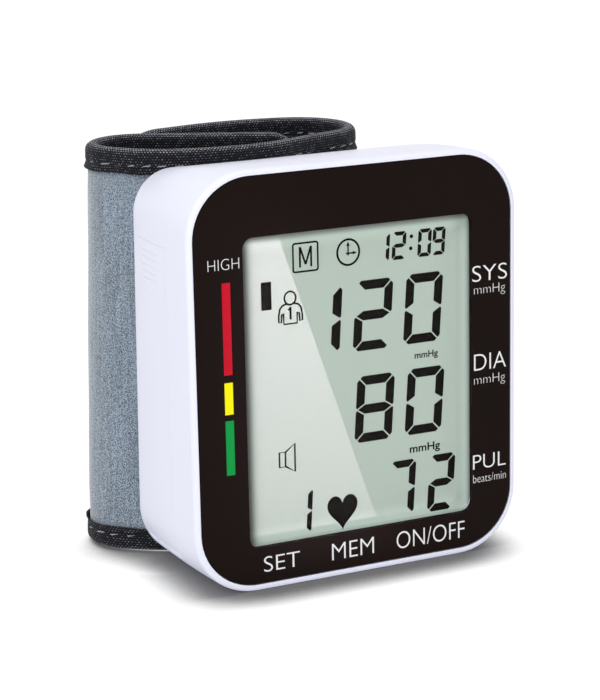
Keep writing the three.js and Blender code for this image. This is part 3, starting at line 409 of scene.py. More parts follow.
prints = {
    "white": mouldedMaterial("whitePrint", (0.82, 0.82, 0.84), 0.5, drift=0.03, Specular_IOR_Level=0.1),
    "red": mouldedMaterial("redPrint", (0.56, 0.006, 0.022), 0.45, Specular_IOR_Level=0.06),
    "yellow": mouldedMaterial("yellowPrint", (0.95, 0.87, 0.004), 0.45, Specular_IOR_Level=0.06),
    "green": mouldedMaterial("greenPrint", (0.004, 0.31, 0.058), 0.45, Specular_IOR_Level=0.06),
    "display": mouldedMaterial("displayInk", (0.009, 0.0085, 0.007), 0.6, Specular_IOR_Level=0.02),
}

windowLap = 0.8
windowLow, windowHigh = nodeRange("display_window")
viewingX = np.array(grown([windowLow[0], windowHigh[0]], -windowLap))
viewingZ = np.array(grown([windowLow[2], windowHigh[2]], -windowLap))
# Painted light and painted shade on the display, by the distance from its frame's edges as seen from the camera.
paintedFrameShade = {
    "sightX": 1.45, "sightZ": -0.8, "reach": 5.0, "topPace": 1.2, "footReach": 1.5, "footLift": 1.9,
    "lit": [(0.0, 0.27), (0.11, 0.52), (0.18, 0.76), (0.26, 0.92), (0.34, 0.92), (0.44, 0.86), (0.56, 0.78),
            (0.72, 0.70), (0.96, 0.665)],
    "left": [(0.0, 0.24), (0.08, 0.38), (0.16, 0.62), (0.24, 0.84), (0.32, 0.95), (0.42, 1.0)],
}


# The grey-green reflector behind the ink, faintly cloudy. Its colour holds painted light and painted shade, placed
# by the distance to the frame's edges as they are seen from the camera. It is painted lighter in a strip along its
# right, top and foot edges, against the real shadow that the deep frame casts there. It is painted darker close to
# its right and top edges, by the distance to the nearest, and on its left, and less so close to its foot.
def displayMaterial():
    material, tree, shader = newMaterial("displayReflector", Roughness=0.03)
    spot = objectPlace(tree)
    marks = useGroup(tree, grain, Vector=spot, Fine=2600.0, Wide=25.0)
    cloudy = ramp(tree, marks["Shade"], (0.3, (0.66, 0.785, 0.69)), (0.7, (0.673, 0.80, 0.705)))
    across, _, up = separated(tree, spot)
    seenX, seenZ = (viewingX + paintedFrameShade["sightX"]) * mm, (viewingZ + paintedFrameShade["sightZ"]) * mm
    fromLeft = maths(tree, "SUBTRACT", across, float(seenX[0]))
    fromFoot = maths(tree, "SUBTRACT", up, float(seenZ[0]))
    fromRight = maths(tree, "SUBTRACT", float(seenX[1]), across)
    fromTop = maths(tree, "MULTIPLY", maths(tree, "SUBTRACT", float(seenZ[1]), up), paintedFrameShade["topPace"])
    nearest = maths(tree, "MINIMUM", fromFoot, maths(tree, "MINIMUM", fromRight, fromTop))
    reach = paintedFrameShade["reach"] * mm
    shade = maths(tree, "MULTIPLY", rampShade(tree, maths(tree, "DIVIDE", nearest, reach), *paintedFrameShade["lit"]),
                  rampShade(tree, maths(tree, "DIVIDE", fromLeft, reach), *paintedFrameShade["left"]))
    # Painted light close to the foot edge: the colour is lifted where the frame's real shadow falls.
    atFoot = rise(tree, fromFoot, 0.0, paintedFrameShade["footReach"] * mm, 1.0, 0.0)
    lift = maths(tree, "MULTIPLY_ADD", maths(tree, "POWER", atFoot, 2.0), paintedFrameShade["footLift"], 1.0)
    tree.links.new(multiplied(tree, cloudy, maths(tree, "MULTIPLY", shade, lift)), shader.inputs["Base Color"])
    return material


def windowMaterial():  # clear sheet: light goes straight through it to what lies behind
    material, tree, shader = newMaterial("clearWindow", Roughness=0.0, IOR=1.04, Transmission_Weight=1.0,
                                         Specular_IOR_Level=0.1, Base_Color=(0.985, 0.99, 0.987, 1))
    rays = addNode(tree, "ShaderNodeLightPath").outputs
    through = addNode(tree, "ShaderNodeBsdfTransparent")
    clear = maths(tree, "MAXIMUM", rays["Is Shadow Ray"], rays["Is Diffuse Ray"])
    showShader(tree, addNode(tree, "ShaderNodeMixShader", {0: clear, 1: shader.outputs[0], 2: through.outputs[0]}))
    return material


def clothPlace(tree):  # cloth follows each piece's own map, in millimetres along the band and across it
    return addNode(tree, "ShaderNodeUVMap", uv_map="cloth").outputs[0]


def fabricMaterial(name, dark, middle, light, grainSize, sheen):
    material, tree, shader = newMaterial(name, Roughness=0.95, Specular_IOR_Level=0.15, Sheen_Weight=sheen,
                                         Sheen_Roughness=0.5)
    marks = useGroup(tree, nap, Vector=clothPlace(tree), Grain=grainSize)
    specks = ramp(tree, marks["Speck"], (0.33, dark), (0.52, middle), (0.74, light))
    streaks = rampShade(tree, marks["Streak"], (0.34, 0.78), (0.66, 1.1))
    tree.links.new(multiplied(tree, specks, streaks), shader.inputs["Base Color"])
    bump(tree, shader, marks["Height"], 0.5, 0.00012)
    return material


tapeShade = {"pitch": 0.46, "rimOver": 10.0, "threads": 0.7}


def tapeMaterial():  # black twill, its threads picked out lighter here and there and most along the fold
    material, tree, shader = newMaterial("twillTape", Roughness=0.8, Specular_IOR_Level=0.12, Sheen_Weight=0.05)
    spot = clothPlace(tree)
    marks = useGroup(tree, twill, Vector=spot, Pitch=tapeShade["pitch"])
    fromFold = maths(tree, "ABSOLUTE", separated(tree, spot)[1])
    rim = rampShade(tree, maths(tree, "DIVIDE", fromFold, tapeShade["rimOver"]), (0.03, 0.55), (0.17, 0.0))
    threads = maths(tree, "MULTIPLY", marks["Light"], tapeShade["threads"])
    light = maths(tree, "MULTIPLY_ADD", marks["Height"], rim, threads)
    colours = ramp(tree, light, (0.15, (0.005, 0.005, 0.007)), (0.4, (0.030, 0.032, 0.042)),
                   (0.62, (0.22, 0.23, 0.26)), (0.95, (0.55, 0.56, 0.6)))
    tree.links.new(colours, shader.inputs["Base Color"])
    bump(tree, shader, marks["Height"], 0.7, 0.00012)
    return material


def threadMaterial():
    material, tree, shader = newMaterial("stitchThread", Roughness=0.7, Sheen_Weight=0.2)
    marks = useGroup(tree, grain, Vector=objectPlace(tree), Fine=6000.0, Wide=300.0)
    tree.links.new(ramp(tree, marks["Shade"], (0.3, (0.30, 0.31, 0.34)), (0.7, (0.52, 0.53, 0.57))),
                   shader.inputs["Base Color"])
    bump(tree, shader, marks["Height"], 0.5, 0.00002)
    return material


finishes["display_glass"] = displayMaterial()
finishes["window_clear"] = windowMaterial()
finishes["cuff_fabric"] = fabricMaterial("heatherFabric", (0.055, 0.078, 0.105), (0.235, 0.29, 0.355),
                                         (0.50, 0.57, 0.65), 7.0, 0.6)
finishes["cuff_lining"] = fabricMaterial("darkLining", (0.010, 0.011, 0.014), (0.022, 0.024, 0.030),
                                         (0.055, 0.06, 0.07), 2.0, 0.1)
finishes["hook_black"] = fabricMaterial("hookTape", (0.006, 0.006, 0.007), (0.012, 0.012, 0.013),
                                        (0.03, 0.03, 0.032), 3.4, 0.1)
finishes["cuff_tape"] = tapeMaterial()
threadFinish = threadMaterial()

for part in frame["record"]["subparts"]:
    frame["nodes"][part["node"]].material_slots[0].material = finishes[part["material_slot"]]
print("materials ready")


# The case

case = {
    "width": 65.4, "height": 76.4, "wall": 1.8, "frontWall": 1.6, "cornerRadius": 11.9, "backTopRadius": 7.5,
    "backFootRadius": 11.2, "topFall": 2.9, "backNarrowing": 0.2, "footSpread": 0.65, "sideSwell": 0.35,
    "rimRound": 0.9, "backRound": 1.0, "lipRound": 0.12, "partRound": 0.025, "partingGap": 0.02, "hold": 0.12,
    "roundSteps": 6, "partSteps": 3, "frontRings": 3, "sideRings": 8, "cavityRings": 7, "seatGap": 0.3,
    "seatWall": 1.6,
}
frontY = nodeRange("front_case")[0][1]
backY = nodeRange("rear_case")[1][1]
partingY = (nodeRange("front_case")[1][1] + nodeRange("rear_case")[0][1]) / 2
caseDepth = backY - frontY
recessY = nodeRange("display_window")[0][1]
cavityFrontY = recessY + case["frontWall"]
cavityBackY = backY - case["wall"]


# The case's outline at one depth, drawn in by an inset: its half width, top and corner radii go evenly from
# front to back, its sides swell as half a sine wave, and it spreads a little at the foot towards the back.
def casingRing(y, inset):
    along = (y - frontY) / caseDepth
    swell = case["sideSwell"] * math.sin(math.pi * along)
    half = case["width"] / 2 - case["backNarrowing"] * along + swell - inset
    top = case["height"] - case["topFall"] * along + swell - inset
    topRadius = case["cornerRadius"] + (case["backTopRadius"] - case["cornerRadius"]) * along - inset
    footRadius = case["cornerRadius"] + (case["backFootRadius"] - case["cornerRadius"]) * along - inset
    flat = roundedOutline([-half, half], [inset, top], footRadius, topRadius)
    spread = case["footSpread"] * along * (1 - 2 * flat[:, 1] / case["height"])
    return atDepth(flat * np.column_stack([1 + spread / half, np.ones(len(flat))]), y)


# Depth and inset along a quarter round of an edge: sunk by 1 - cosine and drawn in by 1 - sine.
def quarterRound(edgeY, radius, way, steps=case["roundSteps"]):
    angle = np.linspace(0, quarter, steps + 1)
    return [(edgeY + way * radius * (1 - math.cos(a)), radius * (1 - math.sin(a))) for a in angle]


# Depths along a straight side, with one close to each end so that the rounds there don't bend its shading.
def sideDepths(start, end, count):
    return [start + case["hold"], *np.linspace(start, end, count + 2)[1:-1], end - case["hold"]]


panelShape = {"cornerRadius": 10.7, "windowRadius": 2.0, "windowRoom": 0.2, "fit": 0.15, "edgeRound": 0.12,
              "edgeSteps": 4, "hold": 0.15}
panelLow, panelHigh = nodeRange("front_panel")


def panelOutline(by):
    radius = panelShape["cornerRadius"] + by
    x, z = (grown([panelLow[i], panelHigh[i]], by) for i in (0, 2))
    return roundedOutline(x, z, radius, radius)


def viewingOutline(by):
    radius = panelShape["windowRadius"] + by
    return roundedOutline(grown(viewingX, by), grown(viewingZ, by), radius, radius)


keyShape = {"fit": 0.25, "round": 0.45, "flange": 0.9, "lap": 0.6, "recess": 0.4, "slotStart": -1,
            "slotDepth": 2.0}
keyBodies = {"set_key": "set_button", "memory_key": "memory_button", "power_key": "power_button"}


def keyOutline(node, by):  # a key's oblong seen from below, across and in depth
    low, high = nodeRange(node)
    half = (high[1] - low[1]) / 2 - keyShape["lap"] + by
    centreY = (low[1] + high[1]) / 2
    x = grown([low[0], high[0]], by - keyShape["lap"])
    return roundedOutline(x, [centreY - half, centreY + half], half, half)


def frontCase():
    gap, lip, part = panelShape["fit"], case["lipRound"], case["partRound"]
    endY = partingY - case["partingGap"] / 2
    rings = [atDepth(viewingOutline(windowLap + panelShape["windowRoom"]), y) for y in (cavityFrontY, recessY)]
    rings.append(atDepth(panelOutline(gap), recessY))
    rings += [atDepth(panelOutline(gap + lip - inset), y) for y, inset in quarterRound(frontY, lip, 1)[::-1]]
    rings += [casingRing(*at) for at in quarterRound(frontY, case["rimRound"], 1)]
    rings += [casingRing(y, 0) for y in sideDepths(frontY + case["rimRound"], endY - part, case["frontRings"])]
    rings += [casingRing(*at) for at in quarterRound(endY, part, -1, case["partSteps"])[::-1]]
    rings += [casingRing(endY, case["wall"]), casingRing(cavityFrontY, case["wall"])]
    reach = [keyShape["slotStart"], keyShape["slotDepth"]]
    slots = [prism(keyOutline(name, keyShape["fit"]), (0, 1), 2, reach) for name in keyBodies]
    return combined(loft("frontCase", rings, ringShaped=True), ("DIFFERENCE", slots))


def outerCasing(startY):
    part, back = case["partRound"], case["backRound"]
    rings = [casingRing(*at) for at in quarterRound(startY, part, 1, case["partSteps"])]
    rings += [casingRing(y, 0) for y in sideDepths(startY + part, backY - back, case["sideRings"])]
    rings += [casingRing(*at) for at in quarterRound(backY, back, -1)[::-1]]
    return loft("outerCasing", rings)


# The cuff's band

band = {
    "seatX": -10.0, "half": 1.35, "step": 0.05, "softness": 3.0, "margin": 2, "lean": 0.0423, "leanX": -0.66,
    "leanY": [13.5, 22.0], "strand": [-38, 30.5], "strandStep": 0.75, "behind": 20,
    "right": [(9.2, 0.064), (13.4, -0.0135), (28.4, 0.402), (23.2, 0.085), (17.0, -0.049)],
    "left": [(9.4, -0.041), (16.8, -0.1065), (23.9, -0.431), (31.0, 0.0)],
}
seatY = nodeRange("cuff_fixed_foot_binding")[0][1] + band["half"]
cuffFoot = nodeRange("cuff_fixed_foot_binding")[0][2]
cuffTop = nodeRange("cuff_fixed_top_binding")[1][2]


# The band's middle line: its bend is even along each arc, smoothed over a short way, its heading is the running
# sum of the bend, and its place is the running sum of the heading's cosine and sine, from the seat both ways.
def bandLine():
    arcs = [(length, -turn) for length, turn in band["left"]][::-1] + band["right"]
    lengths, turns = np.array(arcs).T * [[1], [2 * math.pi]]
    start = -sum(length for length, _ in band["left"])
    edges = start + np.concatenate([[0], np.cumsum(lengths)])
    s = np.arange(start - band["margin"], edges[-1] + band["margin"], band["step"])
    arc = np.clip(np.searchsorted(edges, s, side="right") - 1, 0, len(lengths) - 1)
    spread = np.hanning(int(band["softness"] / band["step"]) | 1)
    bends = np.pad((turns / lengths)[arc], len(spread) // 2, mode="edge")
    heading = np.cumsum(np.convolve(bends, spread / spread.sum(), "valid")) * band["step"]
    seat = np.argmin(np.abs(s))
    heading -= heading[seat]
    x, y = (np.cumsum(part) * band["step"] for part in (np.cos(heading), np.sin(heading)))
    return s, x - x[seat] + band["seatX"], y - y[seat] + seatY, heading, start, edges[-1]


lineS, lineX, lineY, lineHeading, tongueEnd, flapEnd = bandLine()


# Points of the band: a distance along it, a distance out from its middle line and a height. Away from the case
# the roll is drawn in towards its top and let out towards its foot, in proportion to the distance from its axis.
def onBand(s, offset, z, lean=band["lean"]):
    s, offset, z = np.broadcast_arrays(s, offset, z)
    heading = np.interp(s, lineS, lineHeading)
    x = np.interp(s, lineS, lineX) + offset * np.sin(heading)
    y = np.interp(s, lineS, lineY) - offset * np.cos(heading)
    away = np.clip((y - band["leanY"][0]) / (band["leanY"][1] - band["leanY"][0]), 0, 1)
    narrowing = lean * eased(away) * (2 * z / cuffTop - 1)
    return np.stack([x - narrowing * (x - band["leanX"]), y, z], -1)


# Everything behind the cuff's front strand, at a distance from the band's outer face.
def behindCuff(distance):
    s = np.arange(*band["strand"], band["strandStep"])
    edge = onBand(s, band["half"] + distance, 0, lean=0)[:, :2]
    far = [[edge[i, 0], backY + band["behind"]] for i in (-1, 0)]
    return prism(np.concatenate([edge, far]), (0, 1), 2, [-overrun, case["height"] + overrun])


coverShape = {"gap": 0.04, "depth": 1.9, "front": 1.4, "rear": 2.1, "ledge": 1.2, "play": 0.1}
tongueShape = {"half": 3.5, "rise": 2.2, "thickness": 0.8, "behind": 0.4, "drop": 0.2, "stem": 1.6,
               "stemReach": 0.6, "room": 0.2}
bayShape = {"room": 0.2, "endRoom": 0.4, "wall": 1, "half": 5.55, "mouth": 1.4}
cellLow, cellHigh = nodeRange("outer_cell")
cellY = (cellLow[1] + cellHigh[1]) / 2
coverPlaneX = -case["width"] / 2 + coverShape["depth"]
coverY = [partingY + coverShape["front"], backY - coverShape["rear"]]
coverFoot = nodeRange("battery_cover")[0][2]
coverTop = nodeRange("battery_cover")[1][2] - tongueShape["rise"]
stemZ = [coverTop - tongueShape["drop"] - tongueShape["stem"], coverTop - tongueShape["drop"]]
bayZ = [nodeRange("plate_contact_outer")[0][2] - bayShape["room"],
        nodeRange("bridge_contact")[1][2] + bayShape["room"]]
bayEndX = nodeRange("inner_cell")[1][0] + bayShape["endRoom"]


# The cover's stem through the slot in the ledge, and the tongue behind the side wall's upper edge, both made
# larger by a room all round.
def coverTongue(by):
    faceX = coverPlaneX + tongueShape["behind"]
    tongueX, tongueZ = [faceX, faceX + tongueShape["thickness"]], [stemZ[0], coverTop + tongueShape["rise"]]
    stemX = grown([coverPlaneX, coverPlaneX], tongueShape["stemReach"])
    y = grown([cellY, cellY], tongueShape["half"] + by)
    return [boxMesh(grown(x, by), y, grown(z, by)) for x, z in ((tongueX, tongueZ), (stemX, stemZ))]


screwShape = {"post": 3.4, "bore": 2.4, "hole": 1.3, "headDepth": 8.0, "through": 1}
screwRanges = [nodeRange(f"case_screw_{i}") for i in (1, 2, 3, 4)]
screwPlaces = [((low[0] + high[0]) / 2, (low[2] + high[2]) / 2) for low, high in screwRanges]


def rearCase():
    cavity = loft("cavity", [casingRing(y, case["wall"])
                             for y in np.linspace(cavityFrontY, cavityBackY, case["cavityRings"])])
    cavity = combined(cavity, ("DIFFERENCE", [behindCuff(case["seatGap"] + case["seatWall"])]))
    startY, backEndY = partingY + case["partingGap"] / 2, cavityBackY + weld
    posts = [rodMesh(at, screwShape["post"], [startY, backEndY]) for at in screwPlaces]
    deep = [nodeRange("speaker_disc")[0][1] + bayShape["room"], backEndY]
    ribX, ribZ = [coverPlaneX, bayEndX + bayShape["wall"]], grown(bayZ, bayShape["wall"])
    ledgeX = [coverPlaneX - coverShape["depth"], coverPlaneX + coverShape["ledge"]]
    ribs = [boxMesh(ribX, deep, [ribZ[0], bayZ[0]]), boxMesh(ribX, deep, [bayZ[1], ribZ[1]]),
            boxMesh([bayEndX, ribX[1]], deep, ribZ),
            boxMesh(ledgeX, [startY, backEndY], [coverFoot, coverTop + coverShape["ledge"]])]
    bay = boxMesh([-outside, coverPlaneX + bayShape["mouth"]], grown([cellY, cellY], bayShape["half"]), bayZ)
    cuts = [behindCuff(case["seatGap"]), boxMesh([-outside, coverPlaneX], coverY, [-overrun, coverTop]), bay,
            *coverTongue(tongueShape["room"])]
    headY = backY - screwShape["headDepth"]
    for at in screwPlaces:
        cuts.append(rodMesh(at, screwShape["hole"], [startY - screwShape["through"], headY + weld]))
        cuts.append(rodMesh(at, screwShape["bore"], [headY, backY + overrun]))
    return combined(outerCasing(startY), ("DIFFERENCE", [cavity]), ("UNION", posts + ribs),
                    ("INTERSECT", [outerCasing(startY)]), ("DIFFERENCE", cuts))


gripShape = {"ridges": 5, "pitch": 1.25, "height": 0.12, "width": 0.6, "half": 3.9, "endPower": 8, "fromTop": 1.3,
             "shift": 1.6, "sunk": 0.3, "rows": 11, "columns": 24}
arrowShape = {"fromTop": 7.0, "length": 2.6, "half": 2.9, "slope": 6, "rows": 14, "blunt": [1.001, 1.02]}


# A low relief that follows the case's left side, closed at the back by the same grid sunk into the wall.
def onSide(y, z, height):
    along = (y - frontY) / caseDepth
    half = case["width"] / 2 - case["backNarrowing"] * along + case["sideSwell"] * np.sin(math.pi * along)
    side = half + case["footSpread"] * along * (1 - 2 * z / case["height"])
    grids = [np.stack([x, y, z], -1).reshape(-1, 3) for x in (-side - height, gripShape["sunk"] - side)]
    rows, columns = y.shape
    order = np.arange(rows * columns).reshape(rows, columns)
    border = np.concatenate([order[0], order[1:, -1], order[-1, -2::-1], order[-2:0:-1, 0]])
    faces = gridFaces(rows, columns, closedColumns=False)
    rim = np.stack([border, np.roll(border, -1), np.roll(border, -1) + order.size, border + order.size], -1)
    return outwards(makeMesh("relief", np.concatenate(grids), faces, faces[:, ::-1] + order.size, rim))


def reliefGrid(rows):  # shares from the top to the foot, and from -1 to 1 across
    return np.meshgrid(np.linspace(0, 1, rows), np.linspace(-1, 1, gripShape["columns"]), indexing="ij")


# A raised strip on the cover: a half sine hump along its short side and rounded off at its two ends.
def reliefStrip(top):
    u, v = reliefGrid(gripShape["rows"])
    rounding = np.sqrt(np.clip(1 - np.abs(v) ** gripShape["endPower"], 0, 1))
    return onSide(cellY + gripShape["shift"] + v * gripShape["half"], top - u * gripShape["width"],
                  np.sin(math.pi * u) * rounding * gripShape["height"])


# The slide arrow: a triangle that narrows downwards, its height rising evenly from its three edges to a flat top.
def reliefArrow():
    u, v = reliefGrid(arrowShape["rows"])
    narrow, tip = arrowShape["blunt"]
    height = np.minimum(1, arrowShape["slope"] * np.minimum(u, (1 - np.abs(v)) * (tip - u)))
    return onSide(cellY + gripShape["shift"] + v * arrowShape["half"] * (narrow - u),
                  coverTop - arrowShape["fromTop"] - u * arrowShape["length"],
                  np.clip(gripShape["height"] * height, 0, None))


def batteryCover():
    gap, play = coverShape["gap"], coverShape["play"]
    opening = boxMesh([-outside, coverPlaneX - play], grown(coverY, -gap), [coverFoot, coverTop - gap])
    plate = combined(outerCasing(partingY + play), ("INTERSECT", [opening]))
    tongue, stem = coverTongue(0)
    ridges = [reliefStrip(coverTop - gripShape["fromTop"] - i * gripShape["pitch"])
              for i in range(gripShape["ridges"])]
    return joinedMesh("batteryCover", [combined(plate, ("UNION", [stem, tongue])), reliefArrow(), *ridges])


white = finishes["case_white"]
place("frontCase", frontCase(), white, "main", ["front_case"])
place("rearCase", rearCase(), white, "main", ["rear_case"])
place("batteryCover", batteryCover(), white, "cover", ["battery_cover"])
print("case made")


def frontPanel():
    edge, hold, backFace = panelShape["edgeRound"], panelShape["hold"], panelHigh[1]
    rounded = quarterRound(frontY, edge, 1, panelShape["edgeSteps"])
    rings = [atDepth(viewingOutline(0), backFace)]
    rings += [atDepth(viewingOutline(edge - inset), y) for y, inset in rounded[::-1]]
    rings += [atDepth(viewingOutline(edge + hold), frontY), atDepth(panelOutline(-edge - hold), frontY)]
    rings += [atDepth(panelOutline(-inset), y) for y, inset in rounded]
    return loft("frontPanel", rings + [atDepth(panelOutline(0), backFace)], ringShaped=True)


# A key: an oblong cap with a round edge below and a wider flange inside the wall.
def pushKey(node):
    top, lap = nodeRange(node)[1][2], keyShape["lap"]
    inner = top - keyShape["flange"]
    levels = [(keyShape["recess"] + sunk, -inset) for sunk, inset in quarterRound(0, keyShape["round"], 1)]
    rings = []
    for z, by in [*levels, (inner, 0), (inner, lap), (top, lap)]:
        flat = keyOutline(node, by)
        rings.append(np.column_stack([flat, np.full(len(flat), z)]))
    return loft(node, rings)


place("frontPanel", frontPanel(), finishes["panel_black"], "main", ["front_panel"])
for name, body in keyBodies.items():
    place(name.replace("_key", "Key"), pushKey(name), white, body, [name])
print("panel and keys made")


# Prints and display ink: thin closed plates that stand a hair proud of the face that carries them.

ink = {"thickness": 0.012, "proud": 0.002, "wordDepth": 0.5, "wordSteps": 5, "merge": 1e-7, "unitWeight": 0.02,
       "slant": 0.07, "gapShare": 0.1, "cutShare": 0.62, "tipShare": 0.15, "midSlope": 0.62, "dot": 0.36,
       "dots": [(12.45, 60.9), (12.3, 58.7)], "shift": (0.13, 0, -0.07)}


def inkPlate(outline, y):
    return prism(np.asarray(outline, float), (0, 2), 1, [y - ink["thickness"], y])


# A stroke of even width along a line of points: each point is set off to both sides along its own normal.
def inkStroke(points, width, y, closed=False):
    points = np.asarray(points, float)
    way = np.roll(points, -1, 0) - np.roll(points, 1, 0) if closed else np.gradient(points, axis=0)
    normal = np.stack([-way[:, 1], way[:, 0]], -1) / np.linalg.norm(way, axis=1)[:, None] * width / 2
    front = y - ink["thickness"]
    corners = [(points + normal, front), (points - normal, front), (points - normal, y), (points + normal, y)]
    return loft("stroke", np.stack([atDepth(flat, depth) for flat, depth in corners], 1), ringShaped=closed)


def wordMesh(text, x, z, y, weight):  # lettering drawn to fill a box across and up
    curve = bpy.data.curves.new("word", "FONT")
    curve.body, curve.extrude, curve.offset, curve.resolution_u = text, ink["wordDepth"], weight, ink["wordSteps"]
    holder = addObject("word", curve)
    mesh = finalMesh(holder)
    bpy.data.objects.remove(holder)
    points = np.zeros(len(mesh.vertices) * 3)
    mesh.vertices.foreach_get("co", points)
    points = points.reshape(-1, 3)
    low, high = points.min(0), points.max(0)
    share = (points - low) / (high - low)
    placed = np.column_stack([x[0] + share[:, 0] * (x[1] - x[0]), y - share[:, 2] * ink["thickness"],
                              z[0] + share[:, 1] * (z[1] - z[0])])
    mesh.vertices.foreach_set("co", (placed * mm).ravel())
    return outwards(mesh, mergeWithin=ink["merge"])


panelPrint = {
    "barX": [-26.36, -24.76], "red": [40.63, 57.06], "yellow": [33.49, 39.25], "green": [22.43, 32.36],
    "weights": {"large": -0.012, "small": -0.022, "least": -0.018},
    "words": [
        ("HIGH", "small", [-28.88, -22.92], [59.36, 61.3]), ("SYS", "large", [23.5, 30.85], [51.64, 54.6]),
        ("mmHg", "small", [23.88, 30.46], [48.76, 51.0]), ("DIA", "large", [23.83, 30.66], [34.94, 38.02]),
        ("mmHg", "small", [23.85, 30.45], [31.75, 34.0]), ("PUL", "large", [23.57, 30.6], [15.99, 18.76]),
        ("beats/min", "least", [23.6, 30.65], [13.4, 14.95]), ("SET", "large", [-19.63, -12.48], [3.4, 6.3]),
        ("MEM", "large", [-6.0, 2.6], [3.33, 6.45]), ("ON/OFF", "large", [7.32, 21.7], [3.2, 6.5]),
    ],
}
printFace = frontY + ink["proud"]
words = [wordMesh(text, x, z, printFace, panelPrint["weights"][weight])
         for text, weight, x, z in panelPrint["words"]]
place("panelLettering", joinedMesh("panelLettering", words), prints["white"], "main", creaseDegrees=30)
left, right = panelPrint["barX"]
for name in ("red", "yellow", "green"):
    low, high = panelPrint[name]
    bar = inkPlate([[left, low], [right, low], [right, high], [left, high]], printFace)
    place(f"{name}Bar", bar, prints[name], "main")

displayY = nodeRange("display_glass")[0][1]


# A digit's bars in its own upright box: the ends are cut at 45 degrees at the corners and flatter at half height,
# with thin gaps between the bars and the outer corners cut off. All is then slanted to the right with height.
def digitBars(wanted, x, z, thick):
    h = z[1] - z[0]
    w = x[1] - x[0] - ink["slant"] * h
    g, c, q = (thick * ink[name] for name in ("gapShare", "cutShare", "tipShare"))
    mid, cut = h / 2, thick / 2 / ink["midSlope"]
    top = np.array([[c, h], [w - c, h], [w - (c + g) / 2, h - (c - g) / 2], [w - thick - g, h - thick],
                    [thick + g, h - thick], [(c + g) / 2, h - (c - g) / 2]])
    upperLeft = np.array([[0, h - c], [(c - g) / 2, h - (c + g) / 2], [thick, h - thick - g],
                          [thick, mid + g + (thick - q) * ink["midSlope"]], [q, mid + g], [0, mid + g + q]])
    middle = np.array([[q + g, mid], [q + g + cut, mid + thick / 2], [w - q - g - cut, mid + thick / 2],
                       [w - q - g, mid], [w - q - g - cut, mid - thick / 2], [q + g + cut, mid - thick / 2]])

    def flipped(bar, *axes):
        bar = bar.copy()
        for axis in axes:
            bar[:, axis] = (w, h)[axis] - bar[:, axis]
        return bar

    bars = {"a": top, "b": flipped(upperLeft, 0), "c": flipped(upperLeft, 0, 1), "d": flipped(top, 1),
            "e": flipped(upperLeft, 1), "f": upperLeft, "g": middle}
    slant = np.array([[1, 0], [ink["slant"], 1]])
    return [inkPlate(bars[letter] @ slant + [x[0], z[0]], displayY) for letter in wanted]


digitShapes = {"0": "abcdef", "1": "bc", "2": "abged", "7": "abc", "8": "abcdefg", "9": "abcdfg"}
# Each digit's box across and up, and its bars' thickness. A 1 has the right bars only, and its box is a full
# digit's, six bars wide.
digits = [
    ("1", [-12.37, -1.57], [41.0, 53.8], 1.8), ("2", [0.2, 8.7], [40.94, 53.85], 1.72),
    ("0", [10.5, 19.01], [40.97, 53.91], 1.72), ("8", [0.25, 8.82], [23.78, 36.19], 1.72),
    ("0", [10.64, 19.18], [23.75, 36.21], 1.72), ("7", [6.9, 13.1], [8.5, 19.15], 1.4),
    ("2", [15.2, 21.4], [8.3, 19.2], 1.45), ("1", [-14.1, -8.22], [8.3, 16.7], 0.98),
    ("1", [3.95, 8.15], [56.8, 62.05], 0.7), ("2", [8.33, 11.49], [56.92, 62.02], 0.72),
    ("0", [13.6, 16.72], [56.92, 62.02], 0.72), ("9", [16.62, 19.58], [56.92, 62.02], 0.72),
]


def displayDigits():
    bars = [bar for digit, *box in digits for bar in digitBars(digitShapes[digit], *box)]
    dots = [inkPlate(circle(at, ink["dot"], 16), displayY) for at in ink["dots"]]
    return joinedMesh("displayDigits", bars + dots)


def heartOutline(x, z):  # the well-known heart curve of sines and cosines, fitted to a box
    t = np.linspace(0, 2 * math.pi, 64, endpoint=False)
    flat = np.stack([16 * np.sin(t) ** 3,
                     13 * np.cos(t) - 5 * np.cos(2 * t) - 2 * np.cos(3 * t) - np.cos(4 * t)], -1)
    low, high = flat.min(0), flat.max(0)
    return [x[0], z[0]] + (flat - low) / (high - low) * [x[1] - x[0], z[1] - z[0]]


signWidths = {"box": 0.34, "letter": 0.38, "clock": 0.4, "hand": 0.28, "person": 0.35, "number": 0.42,
              "numberTip": 0.32, "speaker": 0.36}


